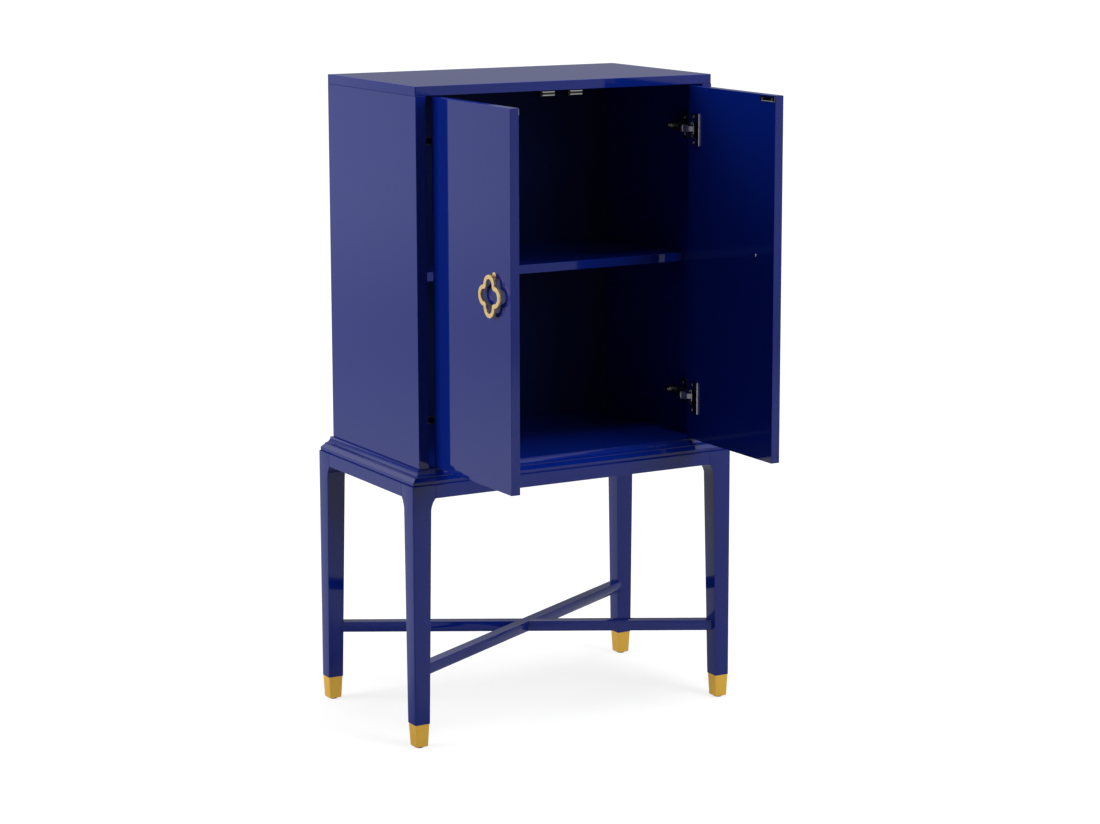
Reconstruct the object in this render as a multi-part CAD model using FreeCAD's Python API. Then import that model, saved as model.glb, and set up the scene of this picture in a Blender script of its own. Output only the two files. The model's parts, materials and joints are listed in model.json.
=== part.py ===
import FreeCAD, Part
import math
import os

# Two-door storage cabinet on a tall stand, lacquered, with brass ferrules and ring pulls.
# X runs to the right, Y to the back, Z up. The doors are modelled standing open at a right angle.
# The origin is on the floor, in the middle of the footprint of the cabinet with its doors open.

os.makedirs("parts", exist_ok=True)

V = FreeCAD.Vector

# Driving sizes of the case
case_width = 640.0
case_depth = 370.0
top_thickness = 18.0
side_thickness = 21.0
back_thickness = 6.0
shelf_thickness = 17.0
opening_height = 693.0
shelf_top_height = 358.0
shelf_setback = 67.0
shelf_clearance = 0.5
panel_arris = 1.0
top_corner_radius = 3.0

# Driving sizes of the stand
side_overhang = 30.0
front_overhang = 33.0
back_overhang = 4.0
leg_head = 47.5
leg_waist = 38.0
leg_foot = 31.0
leg_arris = 3.0
bracket_height = 25.0
apron_bottom = 478.0
apron_height = 25.0
apron_thickness = 20.0
base_board_thickness = 12.5
base_board_reach = 26.0
base_bevel_width = 9.5
base_bevel_drop = 6.0
cove_height = 12.5
cove_reach = 16.5
cove_ledge = 4.5
cove_lip = 1.5
stretcher_width = 22.0
stretcher_height = 20.5
stretcher_bottom = 138.0

# Ferrules and glides
glide_height = 3.0
glide_radius = 8.0
ferrule_height = 44.0
ferrule_top_width = 29.6
ferrule_bottom_width = 25.5
ferrule_corner = 2.0
ferrule_floor = 3.0
spigot_width = 21.0
spigot_clearance = 0.2

# Corner blocks and the screws of the frame
block_leg = 80.0
block_height = 18.0
frame_screw_radius = 2.2
frame_screw_head_radius = 4.2
frame_screw_length = 32.0

# Doors
door_thickness = 18.0
side_gap = 2.8
centre_gap = 2.0
top_gap = 2.0
bottom_gap = 2.4
open_face_gap = 12.0
open_edge_forward = 0.0

# Concealed hinges: a cup in the door, a curved link and an arm on the side panel
hinge_from_edge = 83.0
cup_radius = 17.5
cup_centre = 21.5
cup_depth = 12.0
cup_wall = 1.3
cup_clearance = 0.15
flange_thickness = 1.6
flange_height = 62.5
flange_near = 9.0
flange_far = 37.0
flange_corner = 4.0
cup_screw_pitch = 50.0
cup_pin_along = 8.6
cup_pin_deep = 5.0
cup_notch_drop = 3.4
cup_notch_height = 15.4
arm_pin_reach = 36.0
link_gauge = 2.2
link_hook_along = 5.5
link_hook_rise = 4.3
link_bend_spread = 5.0
link_bend_share = 0.8
link_eye_radius = 1.9
link_end_height = 7.6
link_cup_height = 9.6
link_middle_height = 14.0
link_shoulder = 4.0
link_neck = 11.0
pin_radius = 1.1
running_clearance = 0.05
arm_height = 14.0
arm_gauge = 1.8
arm_nose_radius = 2.2
arm_neck = 9.0
arm_step_far = 34.0
arm_seat_start = 50.0
arm_end = 95.0
arm_seat_height = 22.0
arm_cheek_height = 12.0
plate_thickness = 2.0
plate_start = 48.0
plate_end = 66.0
plate_height = 48.0
plate_corner = 5.0
plate_screw_pitch = 32.0
spine_clearance = 0.2
arm_screw_place = 80.0
arm_screw_radius = 2.5
arm_screw_head_radius = 4.5
arm_screw_head = 2.0

# Small wood screws with countersunk heads
screw_radius = 1.7
screw_head_radius = 3.3
screw_head_height = 1.9
screw_length = 13.0
pilot_clearance = 0.1

# Magnetic catches under the top and their strikes on the doors
catch_offset = 30.0
catch_body_width = 30.0
catch_body_depth = 20.0
catch_body_height = 12.6
catch_setback = 3.4
pole_width = 26.0
pole_depth = 14.0
pole_gauge = 1.6
pole_pitch = 6.0
pole_centre_drop = 7.3
magnet_width = 24.0
magnet_inset = 0.8
contact_gap = 0.3
catch_screw_spacing = 18.0
catch_screw_back = 17.0
strike_width = 47.5
strike_height = 10.7
strike_thickness = 1.2
strike_edge = 2.0
strike_screw_spacing = 32.0

# Ring pulls
pull_from_hinge = 235.0
pull_height = 389.5
ring_size = 78.0
ring_lobe_radius = 19.4
ring_band = 8.0
ring_thickness = 6.0
ring_standoff = 5.6
ring_edge = 0.9
pivot_drop = 4.0
pivot_standoff = 8.4
post_radius = 6.2
post_rim = 0.6
post_dome = 2.6
ring_slot = 3.2
ring_slot_front = 1.95
ring_slot_drop = 2.2
tongue_width = 2.6
tongue_eye_radius = 1.8
pull_pin_radius = 0.9
pull_pin_length = 16.0
bolt_radius = 2.0
bolt_head_radius = 3.0
bolt_head_height = 1.8
bolt_clearance = 0.2

# Dowels of the case
dowel_radius = 3.0
dowel_length = 24.0
dowel_clearance = 0.1
dowel_end_inset = 45.0

# Shelf pins
shelf_pin_radius = 2.5
shelf_pin_length = 16.0
shelf_pin_inside = 8.0
shelf_pin_inset = 40.0
shelf_pin_collar = 4.0
shelf_pin_collar_gauge = 1.5

# Every cut runs past the face that it starts from by this much
overrun = 5.0

# Sizes worked out from the driving ones
leg_top = apron_bottom + apron_height
board_top = leg_top + base_board_thickness
floor_top = board_top + cove_height
opening_top = floor_top + opening_height
clear_width = case_width - side_thickness - side_thickness
half_clear = clear_width / 2
half_case = case_width / 2
stand_width = case_width + side_overhang + side_overhang
stand_depth = case_depth + front_overhang + back_overhang
door_width = (clear_width - side_gap - side_gap - centre_gap) / 2
door_bottom = floor_top + bottom_gap
door_top = opening_top - top_gap
door_reach = open_edge_forward + door_width
front_y = (door_reach - case_depth - back_overhang) / 2
back_y = front_y + case_depth
stand_front = front_y - front_overhang
stand_back = back_y + back_overhang
hinge_heights = (door_bottom + hinge_from_edge, door_top - hinge_from_edge)


def box(low, high):
    """A box between two corners, each an (x, y, z)."""
    size = [b - a for a, b in zip(low, high)]
    return Part.makeBox(size[0], size[1], size[2], V(*low))


def plate(points, direction):
    """The flat outline through the points, pushed out along a direction."""
    wire = Part.makePolygon(points + [points[0]])
    return Part.Face(wire).extrude(direction)


def group(solids):
    """Several separate solids kept as one sub-part."""
    return Part.makeCompound(solids)


def mirrored(shape):
    """The right-hand twin of a left-hand piece."""
    return shape.mirror(V(0, 0, 0), V(1, 0, 0))


def save(name, shape):
    """Write one sub-part to its own file."""
    shape.exportStep("parts/" + name + ".step")
    print(name, len(shape.Solids), "solids", round(shape.Volume), "mm3")


def softened(solid, radius, wanted):
    """Round the edges that a test picks out."""
    edges = [edge for edge in solid.Edges if wanted(edge)]
    return solid.makeFillet(radius, edges)


def upright(edge):
    """Whether an edge is a vertical straight line."""
    ends = edge.Vertexes
    flat = abs(ends[0].X - ends[-1].X) + abs(ends[0].Y - ends[-1].Y)
    return len(ends) == 2 and flat < running_clearance


def at_height(edge, height):
    """Whether a whole edge lies at one height."""
    limits = edge.BoundBox
    return max(abs(limits.ZMin - height), abs(limits.ZMax - height)) < running_clearance


def countersunk(place, direction, length, radius=screw_radius, head=screw_head_radius):
    """A wood screw whose flat head is flush with a face and whose shank runs along a direction."""
    cone = Part.makeCone(head, radius, screw_head_height, place, direction)
    shank = Part.makeCylinder(radius, length, place, direction)
    return cone.fuse(shank).removeSplitter()


def pilot(place, direction, length, radius=screw_radius):
    """The hole that such a screw is driven into."""
    deep = length + pilot_clearance
    return Part.makeCylinder(radius + pilot_clearance, deep, place, direction)


# Case

def top_panel():
    """The top covers both sides. Its visible corners and edges are softened."""
    slab = box((-half_case, front_y, opening_top), (half_case, back_y, opening_top + top_thickness))

    def front_corner(edge):
        return upright(edge) and edge.Vertexes[0].Y < front_y + panel_arris

    slab = softened(slab, top_corner_radius, front_corner)
    slab = softened(slab, panel_arris, lambda edge: at_height(edge, opening_top + top_thickness))
    return slab.cut(group(catch_screw_pilots()))


def left_side():
    """The left side stands on the base board and carries the hinge arms and shelf pins."""
    panel = box((-half_case, front_y, board_top), (-half_clear, back_y, opening_top))

    def outer_front(edge):
        corner = edge.Vertexes[0]
        return upright(edge) and corner.Y < front_y + panel_arris and corner.X < panel_arris - half_case

    panel = softened(panel, panel_arris, outer_front)
    holes = [pilot(place, V(-1, 0, 0), screw_length) for place in plate_screw_places()]
    for place in shelf_pin_places():
        radius = shelf_pin_radius + pilot_clearance
        depth = shelf_pin_length - shelf_pin_inside + pilot_clearance
        holes.append(Part.makeCylinder(radius, depth, place, V(-1, 0, 0)))
    return panel.cut(group(holes))


def bottom_panel():
    """The floor of the case lies between the sides, level with the top of the cove."""
    return box((-half_clear, front_y, board_top), (half_clear, back_y - back_thickness, floor_top))


def back_panel():
    """The back closes the case between its sides and under its top."""
    return box((-half_clear, back_y - back_thickness, board_top), (half_clear, back_y, opening_top))


def shelf():
    """One shelf, set well back from the doors, with a softened front edge."""
    top = floor_top + shelf_top_height
    half = half_clear - shelf_clearance
    front = front_y + shelf_setback
    back = back_y - back_thickness - shelf_clearance
    board = box((-half, front, top - shelf_thickness), (half, back, top))

    def front_edge(edge):
        limits = edge.BoundBox
        return limits.YMax < front + panel_arris and limits.XLength > half

    return softened(board, panel_arris, front_edge)


def shelf_pin_places():
    """Where the left-hand shelf pins enter the side: front and back, under the shelf."""
    under = floor_top + shelf_top_height - shelf_thickness - shelf_pin_radius - running_clearance
    front = front_y + shelf_setback + shelf_pin_inset
    back = back_y - back_thickness - shelf_pin_inset
    return [V(-half_clear, y, under) for y in (front, back)]


def shelf_pins():
    """Four steel pins. Each has a collar that stops it at the face of the side."""
    pins = []
    for place in shelf_pin_places():
        start = place - V(shelf_pin_length - shelf_pin_inside, 0, 0)
        pin = Part.makeCylinder(shelf_pin_radius, shelf_pin_length, start, V(1, 0, 0))
        collar = Part.makeCylinder(shelf_pin_collar, shelf_pin_collar_gauge, place, V(1, 0, 0))
        under_shelf = floor_top + shelf_top_height - shelf_thickness
        low = (-half_clear, place.y - shelf_pin_length, under_shelf)
        high = (-half_clear + shelf_pin_length, place.y + shelf_pin_length, under_shelf + shelf_pin_length)
        pins.append(pin.fuse(collar).removeSplitter().cut(box(low, high)))
    return group(pins + [mirrored(pin) for pin in pins])


def dowel_rows():
    """The left dowels of the case: each a start and a direction."""
    ys = (front_y + dowel_end_inset, (front_y + back_y) / 2, back_y - dowel_end_inset)
    x_top = -half_clear - side_thickness / 2
    z_floor = (board_top + floor_top) / 2
    rows = [(V(x_top, y, opening_top - dowel_length / 2), V(0, 0, 1)) for y in ys]
    return rows + [(V(-half_clear - dowel_length / 2, y, z_floor), V(1, 0, 0)) for y in ys]


def dowels(extra=0.0):
    """The dowels between the sides and the top and floor, on both sides."""
    solids = []
    for start, direction in dowel_rows():
        begin = start - direction * extra
        solids.append(Part.makeCylinder(dowel_radius + extra, dowel_length + extra * 2, begin, direction))
    return solids + [mirrored(solid) for solid in solids]


# Stand

def leg_outline(across, along):
    """One face of a leg: a wide head, a curved bracket under it, and a taper to the foot."""
    bracket_foot = apron_bottom - bracket_height
    width = leg_head - leg_waist
    radius = (width * width + bracket_height * bracket_height) / (width + width)
    lean = math.asin(bracket_height / radius) / 2
    middle_in = leg_waist + radius * (1 - math.cos(lean))
    middle_up = bracket_foot + radius * math.sin(lean)

    def at(inward, height):
        return across * inward + V(0, 0, height)

    foot_up = glide_height + ferrule_height
    arc = Part.Arc(at(leg_head, apron_bottom), at(middle_in, middle_up), at(leg_waist, bracket_foot))
    corners = [at(leg_waist, bracket_foot), at(leg_foot, foot_up), at(0, foot_up)]
    corners += [at(0, leg_top), at(leg_head, leg_top), at(leg_head, apron_bottom)]
    wire = Part.Wire([arc.toShape()] + Part.makePolygon(corners).Edges)
    return Part.Face(wire).extrude(along * leg_head)


def leg():
    """A leg at its own corner: outer faces on X=0 and Y=0, growing to +X and +Y."""
    body = leg_outline(V(1, 0, 0), V(0, 1, 0)).common(leg_outline(V(0, 1, 0), V(1, 0, 0)))

    def outer_arris(edge):
        corner = edge.Vertexes[0]
        return upright(edge) and corner.X + corner.Y < running_clearance

    body = softened(body, leg_arris, outer_arris)
    inset = (leg_foot - spigot_width) / 2
    low = (inset, inset, glide_height + ferrule_floor + spigot_clearance)
    high = (inset + spigot_width, inset + spigot_width, glide_height + ferrule_height)
    return body.fuse(box(low, high)).removeSplitter()


def at_corner(shape, right, back):
    """Move a piece made for the front left corner to one of the four corners of the stand."""
    if right:
        shape = shape.mirror(V(0, 0, 0), V(1, 0, 0))
    if back:
        shape = shape.mirror(V(0, 0, 0), V(0, 1, 0))
    x = stand_width / 2 if right else -stand_width / 2
    y = stand_back if back else stand_front
    return shape.translated(V(x, y, 0))


def rounded_square(width, height):
    """A square wire with round corners, centred on the axis of a leg's foot."""
    half = width / 2
    centre = V(leg_foot / 2, leg_foot / 2, 0)
    flat = half - ferrule_corner
    turn = ferrule_corner * math.sqrt(2) / 2
    edges = []
    signs = ((1, 1), (-1, 1), (-1, -1), (1, -1))
    for index, (sx, sy) in enumerate(signs):
        nx, ny = signs[(index + 1) % len(signs)]
        if sx == sy:
            begin, end = V(sx * half, sy * flat, height), V(sx * flat, sy * half, height)
        else:
            begin, end = V(sx * flat, sy * half, height), V(sx * half, sy * flat, height)
        middle = V(sx * (flat + turn), sy * (flat + turn), height)
        if nx == ny:
            after = V(nx * half, ny * flat, height)
        else:
            after = V(nx * flat, ny * half, height)
        edges.append(Part.Arc(begin + centre, middle + centre, end + centre).toShape())
        edges.append(Part.makeLine(end + centre, after + centre))
    return Part.Wire(edges)


def ferrule():
    """A tapered brass cup that closes the foot of a leg."""
    bottom = glide_height
    top = glide_height + ferrule_height
    wires = [rounded_square(ferrule_bottom_width, bottom), rounded_square(ferrule_top_width, top)]
    body = Part.makeLoft(wires, True, True)
    half = spigot_width / 2 + spigot_clearance
    centre = leg_foot / 2
    low = (centre - half, centre - half, bottom + ferrule_floor)
    high = (centre + half, centre + half, top + overrun)
    return body.cut(box(low, high))


def glide():
    """The round pad that the ferrule stands on."""
    return Part.makeCylinder(glide_radius, glide_height, V(leg_foot / 2, leg_foot / 2, 0))


def all_corners(shape):
    """The same piece at each corner of the stand."""
    return [at_corner(shape, right, back) for right in (False, True) for back in (False, True)]


def apron_along_x(y_outer, inward):
    """A rail between two leg heads, flush with their outer faces."""
    half = stand_width / 2 - leg_head
    near, far = sorted((y_outer, y_outer + inward * apron_thickness))
    return box((-half, near, apron_bottom), (half, far, leg_top))


def apron_along_y():
    """The left rail, flush with the outer faces of the left legs."""
    x = -stand_width / 2
    low = (x, stand_front + leg_head, apron_bottom)
    high = (x + apron_thickness, stand_back - leg_head, leg_top)
    return box(low, high)


def base_board():
    """The board on the stand. Its front and side edges are bevelled, its back edge is square."""
    half = half_case + base_board_reach
    front = front_y - base_board_reach
    shoulder = board_top - base_bevel_drop
    across = [V(-half, 0, leg_top), V(half, 0, leg_top), V(half, 0, shoulder)]
    across += [V(half - base_bevel_width, 0, board_top), V(base_bevel_width - half, 0, board_top)]
    across += [V(-half, 0, shoulder)]
    along = [V(0, front, leg_top), V(0, stand_back, leg_top), V(0, stand_back, board_top)]
    along += [V(0, front + base_bevel_width, board_top), V(0, front, shoulder)]
    length = stand_back - front
    body = plate(across, V(0, length, 0)).translated(V(0, front, 0))
    return body.common(plate(along, V(half + half, 0, 0)).translated(V(-half, 0, 0)))


def cove_profile(outward):
    """The cove's section on the plane of an outward direction: a ledge, a hollow and a lip."""
    hollow = cove_height - cove_lip
    width = cove_reach - cove_ledge
    turn = math.sqrt(2) / 2
    middle = outward * (cove_reach - width * turn) + V(0, 0, cove_height - hollow * turn)
    ledge = outward * cove_ledge + V(0, 0, cove_height)
    lip = outward * cove_reach + V(0, 0, cove_lip)
    arc = Part.Arc(ledge, middle, lip).toShape()
    rest = Part.makePolygon([lip, outward * cove_reach, V(0, 0, 0), V(0, 0, cove_height), ledge])
    return Part.Face(Part.Wire([arc] + rest.Edges))


def cove_front():
    """The front cove, mitred at both ends."""
    half = half_case + cove_reach
    start = V(-half, front_y, board_top)
    body = cove_profile(V(0, -1, 0)).translated(start).extrude(V(half + half, 0, 0))
    plan = [V(-half_case, front_y, board_top), V(half_case, front_y, board_top)]
    plan += [V(half, front_y - cove_reach, board_top), V(-half, front_y - cove_reach, board_top)]
    return body.common(plate(plan, V(0, 0, cove_height)))


def cove_left():
    """The left cove, mitred at the front and square at the back."""
    front = front_y - cove_reach
    start = V(-half_case, front, board_top)
    body = cove_profile(V(-1, 0, 0)).translated(start).extrude(V(0, stand_back - front, 0))
    outer = -half_case - cove_reach
    plan = [V(-half_case, front_y, board_top), V(outer, front, board_top)]
    plan += [V(outer, stand_back, board_top), V(-half_case, stand_back, board_top)]
    return body.common(plate(plan, V(0, 0, cove_height)))


def stretcher(sign):
    """A bar from corner to corner of the stand, cut to the legs that it meets."""
    centre = V(0, (stand_front + stand_back) / 2, 0)
    dx = stand_width / 2 - leg_foot / 2
    dy = stand_depth / 2 - leg_foot / 2
    length = math.hypot(dx, dy)
    bar = box((-length, -stretcher_width / 2, stretcher_bottom),
              (length, stretcher_width / 2, stretcher_bottom + stretcher_height))
    bar = bar.rotated(V(0, 0, 0), V(0, 0, 1), sign * math.degrees(math.atan2(dy, dx)))
    return bar.translated(centre).cut(group(all_corners(leg())))


def lapped(bar, other, lower):
    """Cut half the height out of a bar where the other one crosses it."""
    middle = stretcher_bottom + stretcher_height / 2
    crossing = bar.common(other).BoundBox
    low_z = middle if lower else stretcher_bottom - overrun
    high_z = stretcher_bottom + stretcher_height + overrun if lower else middle
    low = (crossing.XMin - overrun, crossing.YMin - overrun, low_z)
    high = (crossing.XMax + overrun, crossing.YMax + overrun, high_z)
    return bar.cut(box(low, high).common(other_slab(other)))


def other_slab(other):
    """A stretcher's plan, made tall enough to cut through its twin."""
    rise = V(0, 0, overrun)
    lifted = other.translated(rise)
    dropped = other.translated(-rise)
    return other.fuse([lifted, dropped])


def corner_block():
    """A glue block across the inside of a corner of the frame, under the base board."""
    inner = apron_thickness
    reach = inner + block_leg
    top = leg_top
    points = [V(leg_head, inner, top), V(reach, inner, top), V(inner, reach, top), V(inner, leg_head, top)]
    points += [V(leg_head, leg_head, top)]
    return plate(points, V(0, 0, -block_height)).cut(pilot_through_block())


def block_screw_place():
    """The middle of a corner block, seen from above, at its underside."""
    inner = (leg_head + apron_thickness + block_leg / 2) / 2
    return V(inner, inner, leg_top - block_height)


def pilot_through_block():
    """The hole for the screw that ties the block to the base board."""
    start = block_screw_place() - V(0, 0, overrun)
    length = frame_screw_length - screw_head_height + pilot_clearance + overrun
    return Part.makeCylinder(frame_screw_radius + pilot_clearance, length, start)


def frame_screw():
    """A screw driven up through a corner block into the base board."""
    place = block_screw_place()
    head = Part.makeCylinder(frame_screw_head_radius, screw_head_height, place - V(0, 0, screw_head_height))
    shank = Part.makeCylinder(frame_screw_radius, frame_screw_length - screw_head_height, place)
    return head.fuse(shank).removeSplitter()


# Hinges, drawn for the left door in a frame of their own:
# p runs inward from the inner face of the side, q backward from the front of the case.

def local(p, q, z=0.0):
    """A point of the left hinge frame in the frame of the cabinet."""
    return V(p - half_clear, front_y + q, z)


def on_open_door(along, deep, z=0.0):
    """A point of the open left door, from its hinge edge and from its outer face."""
    return local(open_face_gap + deep, -open_edge_forward - along, z)


def link_geometry():
    """The two pins of a link, and how far the link turns between the shut and the open door."""
    shut_pin = V(side_gap + cup_pin_along, door_thickness - cup_pin_deep, 0)
    open_pin = V(open_face_gap + door_thickness - cup_pin_deep, -open_edge_forward - cup_pin_along, 0)
    pole_p = (open_face_gap + side_gap - open_edge_forward) / 2
    pole_q = (side_gap - open_edge_forward - open_face_gap) / 2
    out_p = shut_pin.x - pole_p
    out_q = shut_pin.y - pole_q
    reach_share = (arm_pin_reach - pole_p) / (out_p + out_q)
    arm_pin = V(arm_pin_reach, pole_q + reach_share * (out_q - out_p), 0)
    shut_angle = math.degrees(math.atan2(shut_pin.y - arm_pin.y, shut_pin.x - arm_pin.x)) % 360
    open_angle = math.degrees(math.atan2(open_pin.y - arm_pin.y, open_pin.x - arm_pin.x)) % 360
    return arm_pin, open_pin, open_angle - shut_angle


ARM_PIN, CUP_PIN, LINK_TURN = link_geometry()


def strip(path, half):
    """The outline of a flat strip that follows a bent path."""
    left, right = [], []
    for index, point in enumerate(path):
        before = path[max(index - 1, 0)]
        after = path[min(index + 1, len(path) - 1)]
        arriving = (point - before) if index else (after - point)
        leaving = (after - point) if index < len(path) - 1 else (point - before)
        arriving.normalize()
        leaving.normalize()
        mean = arriving + leaving
        mean.normalize()
        side = V(-mean.y, mean.x, 0) * (half / mean.dot(arriving))
        left.append(point + side)
        right.append(point - side)
    return left + right[::-1]


def slab(points, height, z):
    """An outline given in the hinge frame, made into a plate centred on a height."""
    placed = [local(point.x, point.y, z - height / 2) for point in points]
    return plate(placed, V(0, 0, height))


def barrel(point, radius, height, z):
    """An upright cylinder of the hinge frame, centred on a height."""
    return Part.makeCylinder(radius, height, local(point.x, point.y, z - height / 2))


def hinge_link(z):
    """The curved link. It leaves the cup over the door's edge and ends in the fork of the arm."""
    along = CUP_PIN - ARM_PIN
    length = along.Length
    along.normalize()
    rise = V(-along.y, along.x, 0)
    bend = ARM_PIN + along * (length - link_hook_along - link_bend_spread)
    bend += rise * (link_hook_rise * link_bend_share)
    hook = ARM_PIN + along * (length - link_hook_along) + rise * link_hook_rise
    path = [ARM_PIN, bend, hook, CUP_PIN]
    outline = strip(path, link_gauge / 2)
    body = slab(outline, link_end_height, z)
    ends = ((ARM_PIN, link_shoulder), (CUP_PIN, link_neck))
    for height, cleared in ((link_cup_height, ends[:1]), (link_middle_height, ends)):
        layer = slab(outline, height, z)
        for end, size in cleared:
            layer = layer.cut(barrel(end, size, height + overrun, z))
        body = body.fuse(layer)
    pins = ((ARM_PIN, link_end_height), (CUP_PIN, link_cup_height))
    for pin, height in pins:
        body = body.fuse(barrel(pin, link_eye_radius, height, z))
    for pin, height in pins:
        body = body.cut(barrel(pin, pin_radius, height + overrun, z))
    return body.removeSplitter()


def link_pins(z):
    """The two rivets of a link. They are fast in the link and turn in the arm and in the cup."""
    arm_pin = barrel(ARM_PIN, pin_radius, arm_height, z)
    cup_pin = barrel(CUP_PIN, pin_radius, cup_pin_span(), z)
    return [arm_pin, cup_pin]


def cup_pin_span():
    """How long the cup's pin is: from wall to wall of the cup at that place."""
    offset = cup_centre - cup_pin_along
    return 2 * math.sqrt(cup_radius * cup_radius - offset * offset) - cup_wall


def hinge_arm(z):
    """The cranked arm: a channel open to the side panel, forked at its nose."""
    nose_top = arm_pin_reach + arm_nose_radius
    nose_low = arm_pin_reach - arm_nose_radius
    pin_q = ARM_PIN.y
    neck = pin_q + arm_neck
    points = [V(nose_low, pin_q, 0), V(nose_top, pin_q, 0), V(nose_top, neck, 0)]
    points += [V(arm_seat_height, arm_seat_start, 0), V(arm_seat_height, arm_end, 0)]
    points += [V(arm_cheek_height, arm_end, 0), V(arm_cheek_height, arm_step_far, 0)]
    points += [V(nose_low, neck, 0)]
    body = slab(points, arm_height, z).fuse(barrel(ARM_PIN, arm_nose_radius, arm_height, z))
    web = arm_gauge
    hollow = [V(-overrun, pin_q - overrun, 0), V(nose_top + overrun, pin_q - overrun, 0)]
    hollow += [V(nose_top + overrun, pin_q + arm_nose_radius + web, 0)]
    hollow += [V(nose_top - web, pin_q + arm_nose_radius + web, 0), V(nose_top - web, neck, 0)]
    hollow += [V(arm_seat_height - web, arm_seat_start - web, 0)]
    hollow += [V(arm_seat_height - web, arm_end + overrun, 0), V(-overrun, arm_end + overrun, 0)]
    inside = arm_height - arm_gauge - arm_gauge
    body = body.cut(slab(hollow, inside, z))
    body = body.cut(barrel(ARM_PIN, pin_radius + running_clearance, arm_height + overrun, z))
    return body.cut(arm_screw_hole(z)).removeSplitter()


def arm_screw_hole(z):
    """The hole in the arm's web for the screw that holds the arm on its plate."""
    start = local(arm_seat_height - arm_gauge - overrun, arm_screw_place, z)
    radius = arm_screw_radius + pilot_clearance
    return Part.makeCylinder(radius, arm_gauge + overrun + overrun, start, V(1, 0, 0))


def hinge_plate(z):
    """The mounting plate: two wings on the side panel and a spine that fills the arm."""
    half = plate_height / 2
    wings = box(tuple(local(0, plate_start, z - half)), tuple(local(plate_thickness, plate_end, z + half)))

    def corner(edge):
        return edge.BoundBox.XLength > plate_thickness - running_clearance

    wings = softened(wings, plate_corner, corner)
    spine_half = arm_height / 2 - arm_gauge - spine_clearance
    spine_top = arm_seat_height - arm_gauge - running_clearance
    spine = box(tuple(local(0, plate_start, z - spine_half)), tuple(local(spine_top, arm_end, z + spine_half)))
    body = wings.fuse(spine)
    for place in plate_screw_places(z):
        head = Part.makeCone(screw_radius + pilot_clearance, screw_head_radius + pilot_clearance,
                             screw_head_height, place + V(plate_thickness - screw_head_height, 0, 0), V(1, 0, 0))
        body = body.cut(head).cut(Part.makeCylinder(screw_radius + pilot_clearance, overrun, place, V(1, 0, 0)))
    deep = arm_seat_height / 2
    start = local(spine_top - deep, arm_screw_place, z)
    return body.cut(Part.makeCylinder(arm_screw_radius + pilot_clearance, deep, start, V(1, 0, 0)))


def plate_screw_places(only=None):
    """Where the screws of the mounting plates enter the inner face of the side."""
    places = []
    for z in hinge_heights:
        if only is None or z == only:
            for up in (-1, 1):
                places.append(local(0, (plate_start + plate_end) / 2, z + up * plate_screw_pitch / 2))
    return places


def hinge_screws():
    """The screws of the plates, and the screws that hold the arms on the plates."""
    solids = []
    for place in plate_screw_places():
        face = place + V(plate_thickness, 0, 0)
        solids.append(countersunk(face, V(-1, 0, 0), screw_length + plate_thickness))
    for z in hinge_heights:
        seat = local(arm_seat_height, arm_screw_place, z)
        head = Part.makeCylinder(arm_screw_head_radius, arm_screw_head, seat, V(1, 0, 0))
        shank = Part.makeCylinder(arm_screw_radius, arm_seat_height / 2, seat, V(-1, 0, 0))
        solids.append(head.fuse(shank).removeSplitter())
    return group(solids + [mirrored(solid) for solid in solids])


def door_cylinder(along, deep_from, deep_to, radius, z):
    """A cylinder square to the open door, between two depths from its outer face."""
    start = on_open_door(along, deep_from, z)
    return Part.makeCylinder(radius, deep_to - deep_from, start, V(1, 0, 0))


def hinge_cup(z):
    """A pressed cup with its flange, notched where the link comes out."""
    inner = door_thickness
    cup = door_cylinder(cup_centre, inner - cup_depth, inner, cup_radius - cup_clearance, z)
    low = on_open_door(flange_far, inner, z - flange_height / 2)
    high = on_open_door(flange_near, inner + flange_thickness, z + flange_height / 2)
    flange = box(tuple(low), tuple(high))

    def corner(edge):
        return edge.BoundBox.XLength > flange_thickness - running_clearance

    flange = softened(flange, flange_corner, corner)
    body = cup.fuse(flange)
    hollow_from = inner - cup_depth + cup_wall
    hollow = door_cylinder(cup_centre, hollow_from, inner + overrun, cup_radius - cup_clearance - cup_wall, z)
    body = body.cut(hollow)
    half = cup_notch_height / 2
    low = on_open_door(cup_centre - cup_radius / 2, inner - cup_notch_drop, z - half)
    high = on_open_door(-overrun, inner + overrun, z + half)
    body = body.cut(box(tuple(low), tuple(high)))
    pin_hole = barrel(CUP_PIN, pin_radius + running_clearance, cup_radius * 2, z)
    body = body.cut(pin_hole)
    for place in cup_screw_places(z):
        face = place + V(flange_thickness, 0, 0)
        sink = Part.makeCone(screw_head_radius + pilot_clearance, screw_radius + pilot_clearance,
                             screw_head_height, face, V(-1, 0, 0))
        body = body.cut(sink).cut(pilot(face, V(-1, 0, 0), flange_thickness))
    return body.removeSplitter()


def cup_screw_places(z):
    """Where the two screws of a cup enter the inner face of the door."""
    half = cup_screw_pitch / 2
    return [on_open_door(cup_centre, door_thickness, z + up * half) for up in (-1, 1)]


# Doors

def strike_middle():
    """The middle of the strike plate on the inner face of the open left door."""
    along = door_width - strike_edge - strike_width / 2
    return on_open_door(along, door_thickness, door_top - strike_edge - strike_height / 2)


def strike_screw_places():
    """Where the two screws of the strike enter the door."""
    half = strike_screw_spacing / 2
    return [strike_middle() + V(0, along * half, 0) for along in (-1, 1)]


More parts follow.
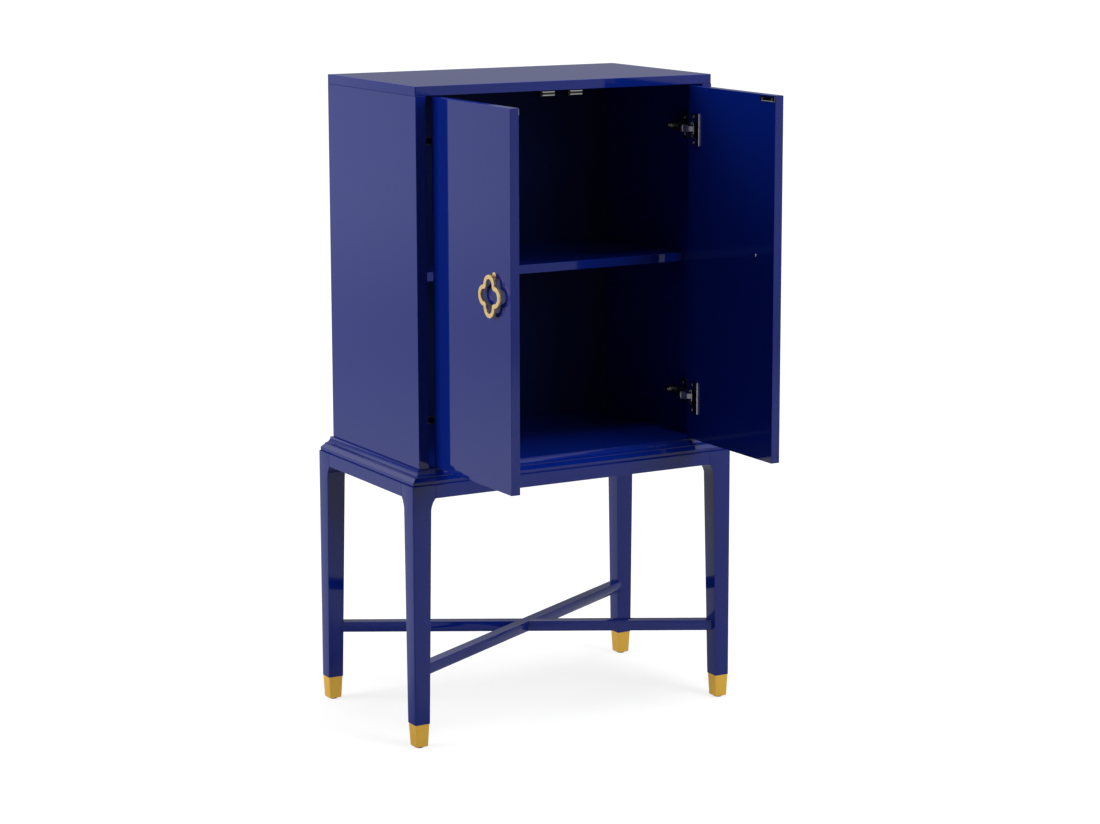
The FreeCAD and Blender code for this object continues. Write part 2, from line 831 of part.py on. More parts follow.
def door_left():
    """A plain slab door, bored for the cups, the screws and the bolt of the pull."""
    low = on_open_door(door_width, 0, door_bottom)
    high = on_open_door(0, door_thickness, door_top)
    body = box(tuple(low), tuple(high))
    body = softened(body, panel_arris / 2, lambda edge: edge.BoundBox.XLength < door_thickness / 2)
    cuts = []
    for z in hinge_heights:
        start = door_thickness - cup_depth - pilot_clearance
        cuts.append(door_cylinder(cup_centre, start, door_thickness + overrun, cup_radius, z))
        cuts.append(pin_recess(z))
        cuts += [pilot(place, V(-1, 0, 0), screw_length) for place in cup_screw_places(z)]
        cuts += [head_sink(place) for place in cup_screw_places(z)]
    for place in strike_screw_places():
        cuts.append(pilot(place, V(-1, 0, 0), screw_length))
        cuts.append(head_sink(place))
    place = pull_place()
    cuts.append(door_cylinder(pull_from_hinge, -overrun, door_thickness + overrun,
                              bolt_radius + bolt_clearance, place.z))
    return body.cut(group(cuts))


def head_sink(place):
    """Room in the wood for the tip of a countersunk head."""
    radius = screw_head_radius
    return Part.makeCone(radius, screw_radius, screw_head_height, place, V(-1, 0, 0))


def pin_recess(z):
    """Room in the wood for the ends of the cup's pin."""
    return barrel(CUP_PIN, pin_radius + cup_clearance, cup_pin_span() + cup_wall, z)


def door_screws():
    """The screws of the two cups and of the strike."""
    solids = []
    for z in hinge_heights:
        for place in cup_screw_places(z):
            solids.append(countersunk(place + V(flange_thickness, 0, 0), V(-1, 0, 0), screw_length))
    for place in strike_screw_places():
        solids.append(countersunk(place + V(strike_thickness, 0, 0), V(-1, 0, 0), screw_length))
    return group(solids)


def strike_plate():
    """The steel plate that the magnets hold."""
    middle = strike_middle()
    half_y = strike_width / 2
    half_z = strike_height / 2
    low = (middle.x, middle.y - half_y, middle.z - half_z)
    high = (middle.x + strike_thickness, middle.y + half_y, middle.z + half_z)
    body = box(low, high)
    for place in strike_screw_places():
        face = place + V(strike_thickness, 0, 0)
        sink = Part.makeCone(screw_head_radius + pilot_clearance, screw_radius + pilot_clearance,
                             screw_head_height, face, V(-1, 0, 0))
        body = body.cut(sink)
    return body


# Ring pulls

def pull_place():
    """Where the pivot of the left pull stands, on the outer face of the open door."""
    return on_open_door(pull_from_hinge, 0, floor_top + pull_height)


def quatrefoil(z_centre, y_centre, x):
    """The outer outline of the ring: four equal lobes that meet in notches."""
    centre_out = ring_size / 2 - ring_lobe_radius
    root = math.sqrt(2 * ring_lobe_radius ** 2 - centre_out ** 2)
    notch = (centre_out + root) / 2
    edges = []
    for quarter in range(4):
        angle = quarter * math.pi / 2

        def turned(a, b):
            ya = a * math.cos(angle) - b * math.sin(angle)
            za = a * math.sin(angle) + b * math.cos(angle)
            return V(x, y_centre + ya, z_centre + za)

        arc = Part.Arc(turned(notch, -notch), turned(ring_size / 2, 0), turned(notch, notch))
        edges.append(arc.toShape())
    return Part.Wire(edges)


def pull_ring():
    """A flat quatrefoil band. Its top is slotted from behind for the post's tongue and drilled for the pin."""
    pivot = pull_place()
    z_centre = pivot.z + pivot_drop - ring_size / 2
    x_back = pivot.x - ring_standoff
    outer = Part.Face(quatrefoil(z_centre, pivot.y, x_back))
    inner = outer.makeOffset2D(-ring_band, 0, False, False, False)
    band = outer.cut(inner).extrude(V(-ring_thickness, 0, 0))
    band = softened(band, ring_edge, lambda edge: edge.BoundBox.XLength < ring_edge / 2)
    half = ring_slot / 2
    low = (pivot.x - pivot_standoff - ring_slot_front, pivot.y - half, pivot.z - ring_slot_drop)
    high = (x_back + overrun, pivot.y + half, pivot.z + pivot_drop + overrun)
    return band.cut(box(low, high)).cut(pull_pin(running_clearance * 2)).removeSplitter()


def pull_post():
    """A low domed post with a tongue that reaches into the ring's slot and carries the pin."""
    place = pull_place()
    rim = Part.makeCylinder(post_radius, post_rim, place, V(-1, 0, 0))
    ball_radius = (post_radius ** 2 + post_dome ** 2) / (2 * post_dome)
    ball = Part.makeSphere(ball_radius, place + V(ball_radius - post_rim - post_dome, 0, 0))
    low = (place.x - post_rim - post_dome - overrun, place.y - ball_radius, place.z - ball_radius)
    high = (place.x - post_rim, place.y + ball_radius, place.z + ball_radius)
    body = rim.fuse(ball.common(box(low, high)))
    eye_x = place.x - pivot_standoff
    low = (eye_x, place.y - tongue_width / 2, place.z - tongue_eye_radius)
    high = (place.x - post_rim, place.y + tongue_width / 2, place.z + tongue_eye_radius)
    eye = Part.makeCylinder(tongue_eye_radius, tongue_width, V(eye_x, low[1], place.z), V(0, 1, 0))
    return body.fuse(box(low, high)).fuse(eye).cut(pull_pin(pilot_clearance)).removeSplitter()


def pull_pin(extra=0.0):
    """The cross pin that the ring swings on."""
    place = pull_place()
    length = pull_pin_length + extra
    start = V(place.x - pivot_standoff, place.y - length / 2, place.z)
    return Part.makeCylinder(pull_pin_radius + extra / 2, length, start, V(0, 1, 0))


def pull_bolt():
    """The bolt that holds the post from inside the door, with a low round head."""
    z = pull_place().z
    shank = door_cylinder(pull_from_hinge, 0, door_thickness, bolt_radius, z)
    head = door_cylinder(pull_from_hinge, door_thickness, door_thickness + bolt_head_height,
                         bolt_head_radius, z)

    def rim(edge):
        limits = edge.BoundBox
        return limits.XLength < running_clearance and limits.ZLength > bolt_radius * 2 and outermost(limits)

    def outermost(limits):
        return limits.XMin > on_open_door(0, door_thickness + bolt_head_height / 2).x

    return softened(head.fuse(shank).removeSplitter(), bolt_head_height / 2, rim)


# Magnetic catches

def catch_front():
    """How far back the faces of the magnets' poles lie."""
    return front_y + door_thickness + strike_thickness + contact_gap


def catch_piece(width, depth, low_drop, high_drop, start):
    """A block under the top, given by its width, its depth and two distances down."""
    y = catch_front() + start
    low = (-catch_offset - width / 2, y, opening_top - low_drop)
    return box(low, (-catch_offset + width / 2, y + depth, opening_top - high_drop))


def catch_poles():
    """Two steel pole plates in each catch."""
    solids = []
    for side in (-1, 1):
        drop = pole_centre_drop + side * pole_pitch / 2
        solids.append(catch_piece(pole_width, pole_depth, drop + pole_gauge / 2, drop - pole_gauge / 2, 0))
    return group(solids + [mirrored(solid) for solid in solids])


def catch_magnets():
    """The magnet between the poles of each catch."""
    half = (pole_pitch - pole_gauge) / 2
    depth = pole_depth - magnet_inset - magnet_inset
    block = catch_piece(magnet_width, depth, pole_centre_drop + half, pole_centre_drop - half, magnet_inset)
    return group([block, mirrored(block)])


def catch_bodies():
    """The housings that hold the magnets under the top."""
    block = catch_piece(catch_body_width, catch_body_depth, catch_body_height, 0, catch_setback)
    half = (pole_pitch + pole_gauge) / 2 + running_clearance
    pocket = catch_piece(pole_width + pilot_clearance, pole_depth + pilot_clearance,
                         pole_centre_drop + half, pole_centre_drop - half, 0)
    block = block.cut(pocket)
    for place in catch_screw_places():
        block = block.cut(pilot(place, V(0, 0, 1), catch_body_height + overrun))
        sink = Part.makeCone(screw_head_radius + pilot_clearance, screw_radius + pilot_clearance,
                             screw_head_height, place, V(0, 0, 1))
        block = block.cut(sink)
    return group([block, mirrored(block)])


def catch_screw_places():
    """Where the screws enter the underside of the left catch."""
    y = catch_front() + catch_screw_back + screw_head_radius
    half = catch_screw_spacing / 2
    return [V(x - catch_offset, y, opening_top - catch_body_height) for x in (-half, half)]


def catch_screws():
    """Two screws hold each catch."""
    length = catch_body_height + screw_length / 2
    solids = [countersunk(place, V(0, 0, 1), length) for place in catch_screw_places()]
    return group(solids + [mirrored(solid) for solid in solids])


def catch_screw_pilots():
    """The holes of those screws, on both sides."""
    length = catch_body_height + screw_length / 2
    holes = [pilot(place, V(0, 0, 1), length) for place in catch_screw_places()]
    return holes + [mirrored(hole) for hole in holes]


def build():
    """Make and save every sub-part."""
    holes = group(dowels(dowel_clearance))
    save("top_panel", top_panel().cut(holes))
    side = left_side().cut(holes)
    save("left_side", side)
    save("right_side", mirrored(side))
    save("bottom_panel", bottom_panel().cut(holes))
    save("dowels", group(dowels()))
    save("back_panel", back_panel())
    save("shelf", shelf())
    save("shelf_pins", shelf_pins())

    screw_holes = group(all_corners(pilot_through_block()))
    save("base_board", base_board().cut(screw_holes))
    save("frame_screws", group(all_corners(frame_screw())))
    save("corner_blocks", group(all_corners(corner_block())))
    save("cove_front", cove_front())
    cove = cove_left()
    save("cove_left", cove)
    save("cove_right", mirrored(cove))
    save("apron_front", apron_along_x(stand_front, 1))
    save("apron_back", apron_along_x(stand_back, -1))
    apron = apron_along_y()
    save("apron_left", apron)
    save("apron_right", mirrored(apron))

    one_leg = leg()
    save("leg_front_left", at_corner(one_leg, False, False))
    save("leg_front_right", at_corner(one_leg, True, False))
    save("leg_back_left", at_corner(one_leg, False, True))
    save("leg_back_right", at_corner(one_leg, True, True))
    save("ferrules", group(all_corners(ferrule())))
    save("glides", group(all_corners(glide())))

    lower, upper = stretcher(-1), stretcher(1)
    save("stretcher_lower", lapped(lower, upper, True))
    save("stretcher_upper", lapped(upper, lower, False))

    plates = group([hinge_plate(z) for z in hinge_heights])
    arms = group([hinge_arm(z) for z in hinge_heights])
    links = group([hinge_link(z) for z in hinge_heights])
    pins = group([pin for z in hinge_heights for pin in link_pins(z)])
    cups = group([hinge_cup(z) for z in hinge_heights])
    pairs = {"hinge_plates": plates, "hinge_arms": arms, "hinge_links": links, "link_pins": pins}
    pairs.update({"hinge_cups": cups, "door": door_left(), "door_screws": door_screws()})
    pairs.update({"strike": strike_plate(), "pull_post": pull_post(), "pull_pin": pull_pin()})
    pairs.update({"pull_bolt": pull_bolt(), "pull_ring": pull_ring()})
    for name, shape in pairs.items():
        save(name + "_left", shape)
        save(name + "_right", mirrored(shape))
    save("hinge_screws", hinge_screws())
    save("catch_bodies", catch_bodies())
    save("catch_magnets", catch_magnets())
    save("catch_poles", catch_poles())
    save("catch_screws", catch_screws())

    arm_axis = local(ARM_PIN.x, ARM_PIN.y)
    cup_axis = local(CUP_PIN.x, CUP_PIN.y)
    pivot = pull_place()
    print("left arm pin", arm_axis, "left cup pin", cup_axis, "link turn", LINK_TURN)
    print("left pull pivot", pivot - V(pivot_standoff, 0, 0))
    print("front", front_y, "back", back_y, "stand", stand_front, stand_back)


build()
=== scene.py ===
# %% [markdown]
# # A lacquered two-door cabinet on a tall stand
#
# The cabinet is a glossy blue box on a stand with tapered legs, crossed stretchers and brass feet.
# Its two doors stand open on concealed hinges, and each carries a ring pull of four lobes.
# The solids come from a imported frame, in metres, with the floor at z = 0 and the front towards -Y.
# This script gives every piece its finished shape and its finish, and leaves its place as it is.

# %% Load the frame
import bpy
import bmesh
import json
import math
from mathutils import Matrix, Vector


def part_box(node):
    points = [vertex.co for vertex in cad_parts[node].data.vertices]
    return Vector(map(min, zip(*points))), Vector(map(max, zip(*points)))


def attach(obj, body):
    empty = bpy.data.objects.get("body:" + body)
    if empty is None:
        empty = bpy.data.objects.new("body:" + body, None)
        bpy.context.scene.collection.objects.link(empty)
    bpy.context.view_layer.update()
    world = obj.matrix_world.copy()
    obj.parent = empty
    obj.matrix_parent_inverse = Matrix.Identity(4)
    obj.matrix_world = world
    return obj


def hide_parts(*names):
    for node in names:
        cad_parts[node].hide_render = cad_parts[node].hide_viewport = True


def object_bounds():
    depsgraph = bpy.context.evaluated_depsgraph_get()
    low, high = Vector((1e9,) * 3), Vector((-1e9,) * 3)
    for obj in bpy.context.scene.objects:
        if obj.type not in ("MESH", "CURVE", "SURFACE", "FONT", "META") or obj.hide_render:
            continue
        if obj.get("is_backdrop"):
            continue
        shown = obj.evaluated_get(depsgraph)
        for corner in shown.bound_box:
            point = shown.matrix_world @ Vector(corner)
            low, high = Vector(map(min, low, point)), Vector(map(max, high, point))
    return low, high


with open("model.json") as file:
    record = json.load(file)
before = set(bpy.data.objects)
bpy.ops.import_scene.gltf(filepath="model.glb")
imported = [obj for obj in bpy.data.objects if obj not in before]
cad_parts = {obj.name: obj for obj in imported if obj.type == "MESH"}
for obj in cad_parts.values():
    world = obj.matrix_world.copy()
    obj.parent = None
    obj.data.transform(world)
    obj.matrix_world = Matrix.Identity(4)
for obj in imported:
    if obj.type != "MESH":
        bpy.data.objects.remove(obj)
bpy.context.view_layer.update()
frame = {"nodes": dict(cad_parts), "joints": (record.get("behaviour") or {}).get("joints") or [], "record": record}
MM = 0.001
SIDES = ("left", "right")

# %% [markdown]
# ## The camera
#
# The picture is seen from the left of the front and a little from above, and its upright lines
# stay upright. A level camera with a large lens shift gives exactly that, but the same shift
# pushes the object out of the frame from every other side. So this camera is turned down and
# keeps a small shift, and the upright lines lean a little. Its numbers were fitted to the level
# camera's view of the corners of the case, the doors and the stand.

# %% Camera
CAMERA_PLACE = Vector((-2.6865, -4.6822, 1.6308))
CAMERA_TURN = 0.53074
CAMERA_DOWN = 0.17464
LENS = 93.57
SHIFT_LEFT = 0.0322
SHIFT_DOWN = 0.0364
FURTHEST_SEEN = 200

camera_data = bpy.data.cameras.new("camera")
camera = bpy.data.objects.new("camera", camera_data)
bpy.context.scene.collection.objects.link(camera)
camera.location = CAMERA_PLACE
camera.rotation_euler = (math.pi / 2 - CAMERA_DOWN, 0, -CAMERA_TURN)
camera_data.lens = LENS
camera_data.shift_x = -SHIFT_LEFT
camera_data.shift_y = -SHIFT_DOWN
camera_data.clip_end = FURTHEST_SEEN
bpy.context.scene.camera = camera
print("camera", [round(v, 3) for v in camera.location], "lens", LENS)

# %% [markdown]
# ## Helpers for node trees
#
# A material is a tree of nodes. Writing each node and link by hand is long, so small helpers add a
# node with its settings, join two sockets and do sums. A Mix node keeps the sockets of all its
# data types in one list, so its colour sockets are reached by their places in that list.

# %% Node helpers
COLOR_A, COLOR_B, COLOR_OUT = 6, 7, 2


def add_node(tree, kind, **settings):
    """A new node. Settings that name a socket set its value, the others set the node."""
    node = tree.nodes.new(kind)
    for key, value in settings.items():
        if hasattr(node, key):
            setattr(node, key, value)
        else:
            node.inputs[key.replace("_", " ")].default_value = value
    return node


def join(tree, out_socket, in_socket):
    """A link from one socket to another."""
    tree.links.new(out_socket, in_socket)


def feed(tree, value, socket):
    """A socket that is set to a number, or joined to another socket."""
    if isinstance(value, (int, float)):
        socket.default_value = value
    else:
        join(tree, value, socket)


def maths(tree, operation, first, second):
    """The result of one sum on two numbers or sockets."""
    made = add_node(tree, "ShaderNodeMath", operation=operation)
    for value, socket in zip((first, second), made.inputs):
        feed(tree, value, socket)
    return made.outputs[0]


def new_material(name, color, **sockets):
    """A material with one Principled shader. Its plain values are set on the shader itself."""
    made = bpy.data.materials.new(name)
    made.use_nodes = True
    shader = made.node_tree.nodes["Principled BSDF"]
    shader.inputs["Base Color"].default_value = (*color, 1)
    for key, value in sockets.items():
        shader.inputs[key.replace("_", " ")].default_value = value
    made.diffuse_color = (*color, 1)
    return made, made.node_tree, shader


print("a Mix node has its colour result at socket", COLOR_OUT)

# %% [markdown]
# ## A plain studio
#
# The floor is pale and the backdrop is white. Light Path tells the rays apart, so one world can be
# three things. The camera sees plain white. Rays that come off a mirror or through glass see a
# dimmer studio: brighter in front and overhead, dim near the feet and darkest on the left of the
# floor, because the lacquer in the picture mirrors a room like that. All other rays meet a weak
# light, weakest in front, so the lamps do the lighting and the inside of the case stays dark. The
# floor is a grey that catches the shadow, under a glow that only the camera and mirror rays see. A
# picture of a room could be mirrored instead, but a few ramps need no image and are easy to tune.
# The view transform is Standard, so that a colour shows as it is written.

# %% Rays and ramps
WHITE = (1, 1, 1, 1)


def ray_kind(tree):
    """Two masks: 1 for rays from the camera, and 1 for rays off a mirror or through glass."""
    path = add_node(tree, "ShaderNodeLightPath")
    glossy, through = path.outputs["Is Glossy Ray"], path.outputs["Is Transmission Ray"]
    return path.outputs["Is Camera Ray"], maths(tree, "MAXIMUM", glossy, through)


def ramp(tree, value, low, high, first, last, smooth=True):
    """A value that goes from first to last while the input goes from low to high."""
    made = add_node(tree, "ShaderNodeMapRange")
    if smooth:
        made.interpolation_type = "SMOOTHSTEP"
    ends = (("From Min", low), ("From Max", high), ("To Min", first), ("To Max", last))
    for name, end in ends:
        feed(tree, end, made.inputs[name])
    join(tree, value, made.inputs["Value"])
    return made.outputs["Result"]


def pick(tree, mask, otherwise, chosen):
    """One number or another, by a mask of 0 or 1."""
    return ramp(tree, mask, 0, 1, otherwise, chosen, smooth=False)


# %% World
FRONT_DIM, SIDE_BRIGHT, SOFT_RANGE = 0.01, 0.12, (-0.85, 0.1)
FRONT_GLOSS, HORIZON_GLOSS, FRONT_RANGE = 0.50, 0.22, (-0.6, 0.2)
HIGH_GLOSS, HIGH_RANGE = 1.0, (0.18, 0.6)

world = bpy.data.worlds.new("studio")
world.use_nodes = True
bpy.context.scene.world = world
sky = world.node_tree
sky.nodes.clear()
direction = add_node(sky, "ShaderNodeTexCoord")
parts = add_node(sky, "ShaderNodeSeparateXYZ")
join(sky, direction.outputs["Generated"], parts.inputs[0])
soft_strength = ramp(sky, parts.outputs["Y"], *SOFT_RANGE, FRONT_DIM, SIDE_BRIGHT)
horizon = ramp(sky, parts.outputs["Y"], *FRONT_RANGE, FRONT_GLOSS, HORIZON_GLOSS)
mirror_strength = ramp(sky, parts.outputs["Z"], *HIGH_RANGE, horizon, HIGH_GLOSS)
from_camera, from_mirror = ray_kind(sky)
strength = pick(sky, from_mirror, soft_strength, mirror_strength)
strength = pick(sky, from_camera, strength, 1.0)
backdrop = add_node(sky, "ShaderNodeBackground", Color=WHITE)
join(sky, strength, backdrop.inputs["Strength"])
sky_out = add_node(sky, "ShaderNodeOutputWorld")
join(sky, backdrop.outputs[0], sky_out.inputs["Surface"])
bpy.context.scene.view_settings.view_transform = "Standard"
print("world", len(sky.nodes), "nodes")

# %% Floor finish
FLOOR_GREY = (0.28, 0.28, 0.28, 1)
CAMERA_NEAR, CAMERA_FAR, CAMERA_RANGE = 0.75, 1.05, (0.5, 5.0)
MIRROR_NEAR, MIRROR_FAR, MIRROR_RANGE = 0.25, 0.66, (0.5, 10.0)
DARK_SIDE, DARK_GLOW, DARK_RANGE = (-0.97, -0.25, 0), 0.05, (0.6, 0.92)

floor_material = bpy.data.materials.new("floor_white")
floor_material.use_nodes = True
floor_tree = floor_material.node_tree
floor_tree.nodes.clear()
spot = add_node(floor_tree, "ShaderNodeTexCoord").outputs["Object"]
away = add_node(floor_tree, "ShaderNodeVectorMath", operation="LENGTH")
join(floor_tree, spot, away.inputs[0])
seen = ramp(floor_tree, away.outputs["Value"], *CAMERA_RANGE, CAMERA_NEAR, CAMERA_FAR)
mirrored = ramp(floor_tree, away.outputs["Value"], *MIRROR_RANGE, MIRROR_NEAR, MIRROR_FAR)
heading = add_node(floor_tree, "ShaderNodeVectorMath", operation="NORMALIZE")
join(floor_tree, spot, heading.inputs[0])
facing = add_node(floor_tree, "ShaderNodeVectorMath", operation="DOT_PRODUCT")
join(floor_tree, heading.outputs["Vector"], facing.inputs[0])
facing.inputs[1].default_value = DARK_SIDE
mirrored = ramp(floor_tree, facing.outputs["Value"], *DARK_RANGE, mirrored, DARK_GLOW)
from_camera, from_mirror = ray_kind(floor_tree)
glow = pick(floor_tree, from_mirror, 0.0, mirrored)
glow = pick(floor_tree, from_camera, glow, seen)
floor_diffuse = add_node(floor_tree, "ShaderNodeBsdfDiffuse", Color=FLOOR_GREY)
floor_glow = add_node(floor_tree, "ShaderNodeEmission", Color=WHITE)
join(floor_tree, glow, floor_glow.inputs["Strength"])
floor_both = add_node(floor_tree, "ShaderNodeAddShader")
join(floor_tree, floor_diffuse.outputs[0], floor_both.inputs[0])
join(floor_tree, floor_glow.outputs[0], floor_both.inputs[1])
floor_out = add_node(floor_tree, "ShaderNodeOutputMaterial")
join(floor_tree, floor_both.outputs[0], floor_out.inputs["Surface"])
print("floor finish", len(floor_tree.nodes), "nodes")

# %% Floor
FLOOR_SIZE = 80.0
half = FLOOR_SIZE / 2
floor_mesh = bpy.data.meshes.new("floor")
corners = [(-half, -half, 0), (half, -half, 0), (half, half, 0), (-half, half, 0)]
floor_mesh.from_pydata(corners, [], [(0, 1, 2, 3)])
floor = bpy.data.objects.new("floor", floor_mesh)
floor_mesh.materials.append(floor_material)
bpy.context.scene.collection.objects.link(floor)
floor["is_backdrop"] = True
print("floor", FLOOR_SIZE, "m wide")

# %% [markdown]
# ## Lamps
#
# Soft light comes from large lamps. One stands on the left, a little behind the middle, one in
# front on the right, and one hangs above. Each lamp's power is spread over its face, so a larger
# one needs more. None of them shows in a mirror image, where it would be a hard bright patch in
# the lacquer.

# %% Lamps
LAMP_TARGET = Vector((0, 0.1, 0.75))


def soft_lamp(name, place, size, power):
    """A square area lamp that faces the middle of the cabinet."""
    data = bpy.data.lights.new(name, "AREA")
    data.shape = "SQUARE"
    data.size = size
    data.energy = power
    lamp = bpy.data.objects.new(name, data)
    lamp.location = place
    lamp.rotation_euler = (LAMP_TARGET - Vector(place)).to_track_quat("-Z", "Y").to_euler()
    lamp.visible_camera = False
    lamp.visible_glossy = False
    bpy.context.scene.collection.objects.link(lamp)
    return lamp


lamps = [
    soft_lamp("lamp_left", place=(-3.3, 1.1, 1.9), size=2.4, power=135),
    soft_lamp("lamp_right", place=(1.6, -3.8, 2.2), size=2.0, power=125),
    soft_lamp("lamp_above", place=(0.3, -0.1, 3.8), size=1.8, power=130),
]
print("lamps", [(lamp.name, lamp.data.energy) for lamp in lamps])

# %% [markdown]
# ## Lacquer
#
# A finish like this is many coats of blue lacquer, rubbed and polished. Light passes the clear top
# coat and comes back blue from the colour under it, and the surface itself mirrors the room.
# One Principled shader does both. A very faint, fine waviness keeps the mirror image from looking
# like glass, and slight changes in roughness stand for polishing. Both read Object coordinates,
# so that they keep their size on every piece and need no unwrapping.

# %% Lacquer material
LACQUER_BLUE = (0.0014, 0.0112, 0.155)
LACQUER_ROUGH = (0.035, 0.075)
LACQUER_IOR = 1.45
TONE = (0.94, 1.04)


def noise(tree, scale, detail, stretch=None):
    """The value of a noise on Object coordinates, which a Mapping node can stretch."""
    made = add_node(tree, "ShaderNodeTexNoise", Scale=scale, Detail=detail)
    source = add_node(tree, "ShaderNodeTexCoord").outputs["Object"]
    if stretch:
        stretched = add_node(tree, "ShaderNodeMapping", Scale=stretch)
        join(tree, source, stretched.inputs["Vector"])
        source = stretched.outputs["Vector"]
    join(tree, source, made.inputs["Vector"])
    return made.outputs["Fac"]


def bumped(tree, shader, height, strength, distance):
    """A Bump node that tilts the shader's normal by a height."""
    bump = add_node(tree, "ShaderNodeBump", Strength=strength, Distance=distance)
    join(tree, height, bump.inputs["Height"])
    join(tree, bump.outputs["Normal"], shader.inputs["Normal"])


def lacquer_finish(name, color):
    """A high-gloss coat over a deep colour."""
    made, tree, shader = new_material(name, color, IOR=LACQUER_IOR)
    rubbed = noise(tree, scale=9.0, detail=3.0)
    rough = ramp(tree, rubbed, 0, 1, *LACQUER_ROUGH, smooth=False)
    join(tree, rough, shader.inputs["Roughness"])
    waves = noise(tree, scale=260.0, detail=1.0)
    bumped(tree, shader, waves, strength=0.05, distance=0.04 * MM)
    cloud = noise(tree, scale=3.0, detail=2.0)
    tone = ramp(tree, cloud, 0, 1, *TONE, smooth=False)
    deeper = add_node(tree, "ShaderNodeMix", data_type="RGBA", blend_type="MULTIPLY", Factor=1.0)
    deeper.inputs[COLOR_A].default_value = (*color, 1)
    join(tree, tone, deeper.inputs[COLOR_B])
    join(tree, deeper.outputs[COLOR_OUT], shader.inputs["Base Color"])
    return made


lacquer = lacquer_finish("lacquer_blue", LACQUER_BLUE)
print("lacquer", LACQUER_BLUE)

# %% [markdown]
# ## The back panel's paint and painted shade
#
# The panel at the back of the case shows no mirror image: through the open front it is nearly
# black, because it lies in the shade of the case and the doors. Its near-black colour is painted
# shade. It is taken to be a thin board with a satin paint, sprayed and not rubbed, so its surface
# has a fine even tooth. One small noise drives both the bump and the roughness, because the same
# tooth makes both.

# %% Satin paint
# The near-black blue of the back panel is painted shade.
BACK_SHADE_BLUE = (0.0010, 0.0042, 0.040)
SATIN_ROUGH = (0.50, 0.62)
SATIN_SPECULAR = 0.15


def satin_finish(name, color):
    """A sprayed satin paint."""
    made, tree, shader = new_material(name, color, Specular_IOR_Level=SATIN_SPECULAR)
    tooth = noise(tree, scale=700.0, detail=3.0)
    rough = ramp(tree, tooth, 0, 1, *SATIN_ROUGH, smooth=False)
    join(tree, rough, shader.inputs["Roughness"])
    bumped(tree, shader, tooth, strength=0.15, distance=0.05 * MM)
    return made


satin = satin_finish("satin_painted_shade_blue", BACK_SHADE_BLUE)
print("satin", BACK_SHADE_BLUE)

# %% [markdown]
# ## Metals
#
# Metal has no colour under its surface: what it mirrors takes its colour. So Metallic is 1 and the
# base colour is that of the mirror image. The brass in the picture looks more evenly bright than
# bare metal. It is taken to be brushed and coated, so that part of the light is scattered before
# it leaves, and a Metallic below 1 gives it that share. The brass of the feet has fine lines that
# run up and down. A noise makes them, stretched by the coordinates that it reads.

# %% Metal materials
SMOOTHEST, ROUGHEST = 0.75, 1.3
EVEN, DRAWN, BRUSHED = (1, 1, 1), (1, 1, 0.1), (1, 1, 0.05)
BRIGHT_NICKEL = (0.66, 0.64, 0.60)


def metal_finish(name, color, rough, lines=DRAWN, depth=0.06, metallic=1.0):
    """A metal with a fine grain, which changes its roughness and its bump."""
    made, tree, shader = new_material(name, color, Metallic=metallic)
    grain = noise(tree, scale=400.0, detail=2.0, stretch=lines)
    spread = ramp(tree, grain, 0, 1, rough * SMOOTHEST, rough * ROUGHEST, smooth=False)
    join(tree, spread, shader.inputs["Roughness"])
    bumped(tree, shader, grain, strength=depth, distance=0.05 * MM)
    return made


foot_brass = metal_finish("satin_brass", (0.96, 0.57, 0.080), 0.42, BRUSHED, 0.12, metallic=0.55)
pull_brass = metal_finish("coated_brass", (0.98, 0.72, 0.32), 0.22, EVEN, 0.04, metallic=0.75)
nickel = metal_finish("bright_nickel", BRIGHT_NICKEL, 0.22)
# The lip nickel is lighter than the bright nickel: a painted highlight for the flange lips.
lip_highlight_nickel = metal_finish("lip_highlight_nickel", (0.92, 0.90, 0.86), 0.26)
dull_nickel = metal_finish("dull_nickel", (0.50, 0.49, 0.48), 0.42)
# The shaded nickel is nickel darkened as painted shade, for the hinge arms and plates.
shaded_nickel = metal_finish("shaded_nickel", (0.16, 0.155, 0.15), 0.34)
zinc = metal_finish("zinc_plate", (0.50, 0.50, 0.50), 0.16, EVEN, 0.1)
print("metals", [m.name for m in (foot_brass, pull_brass, nickel, zinc)])

# %% [markdown]
# ## Painted shade inside a hinge cup
#
# In the picture a cup is bright on its flange and nearly black in its depth, where shade falls. The
# piece carries an attribute, deep, which is 0 on the flange and 1 at the bottom of the cup, and the
# material reads it to go from the bright metal to a dark one. That dark is painted shade in the
# hollow. Two materials on one cup would do it too, but with a hard line between them.

# %% Cup material
CUP_SHADE_COLOR = (0.020, 0.019, 0.018)


def cup_finish(name, bright, dark, rough):
    """A nickel cup that darkens with its depth, as painted shade."""
    made = metal_finish(name, bright, rough)
    tree = made.node_tree
    deep = add_node(tree, "ShaderNodeAttribute", attribute_name="deep")
    shade = add_node(tree, "ShaderNodeMix", data_type="RGBA")
    join(tree, deep.outputs["Fac"], shade.inputs["Factor"])
    shade.inputs[COLOR_A].default_value = (*bright, 1)
    shade.inputs[COLOR_B].default_value = (*dark, 1)
    join(tree, shade.outputs[COLOR_OUT], tree.nodes["Principled BSDF"].inputs["Base Color"])
    return made


cup_shaded_nickel = cup_finish("cup_shaded_nickel", BRIGHT_NICKEL, CUP_SHADE_COLOR, 0.22)
print("cup bottom", CUP_SHADE_COLOR)

# %% [markdown]
# ## Plastic, magnet, pads and bare wood
#
# The catches' housings, their magnets, the pads under the feet and the hidden beech are small, but
# each still gets its own finish. All four are matt, so one function makes them: a plain colour and
# roughness with a fine tooth as a bump.

# %% Small materials
def rough_finish(name, color, rough, scale, strength):
    """A matt surface with a fine tooth."""
    made, tree, shader = new_material(name, color, Roughness=rough)
    tooth = noise(tree, scale, detail=4.0)
    bumped(tree, shader, tooth, strength, distance=0.1 * MM)
    return made


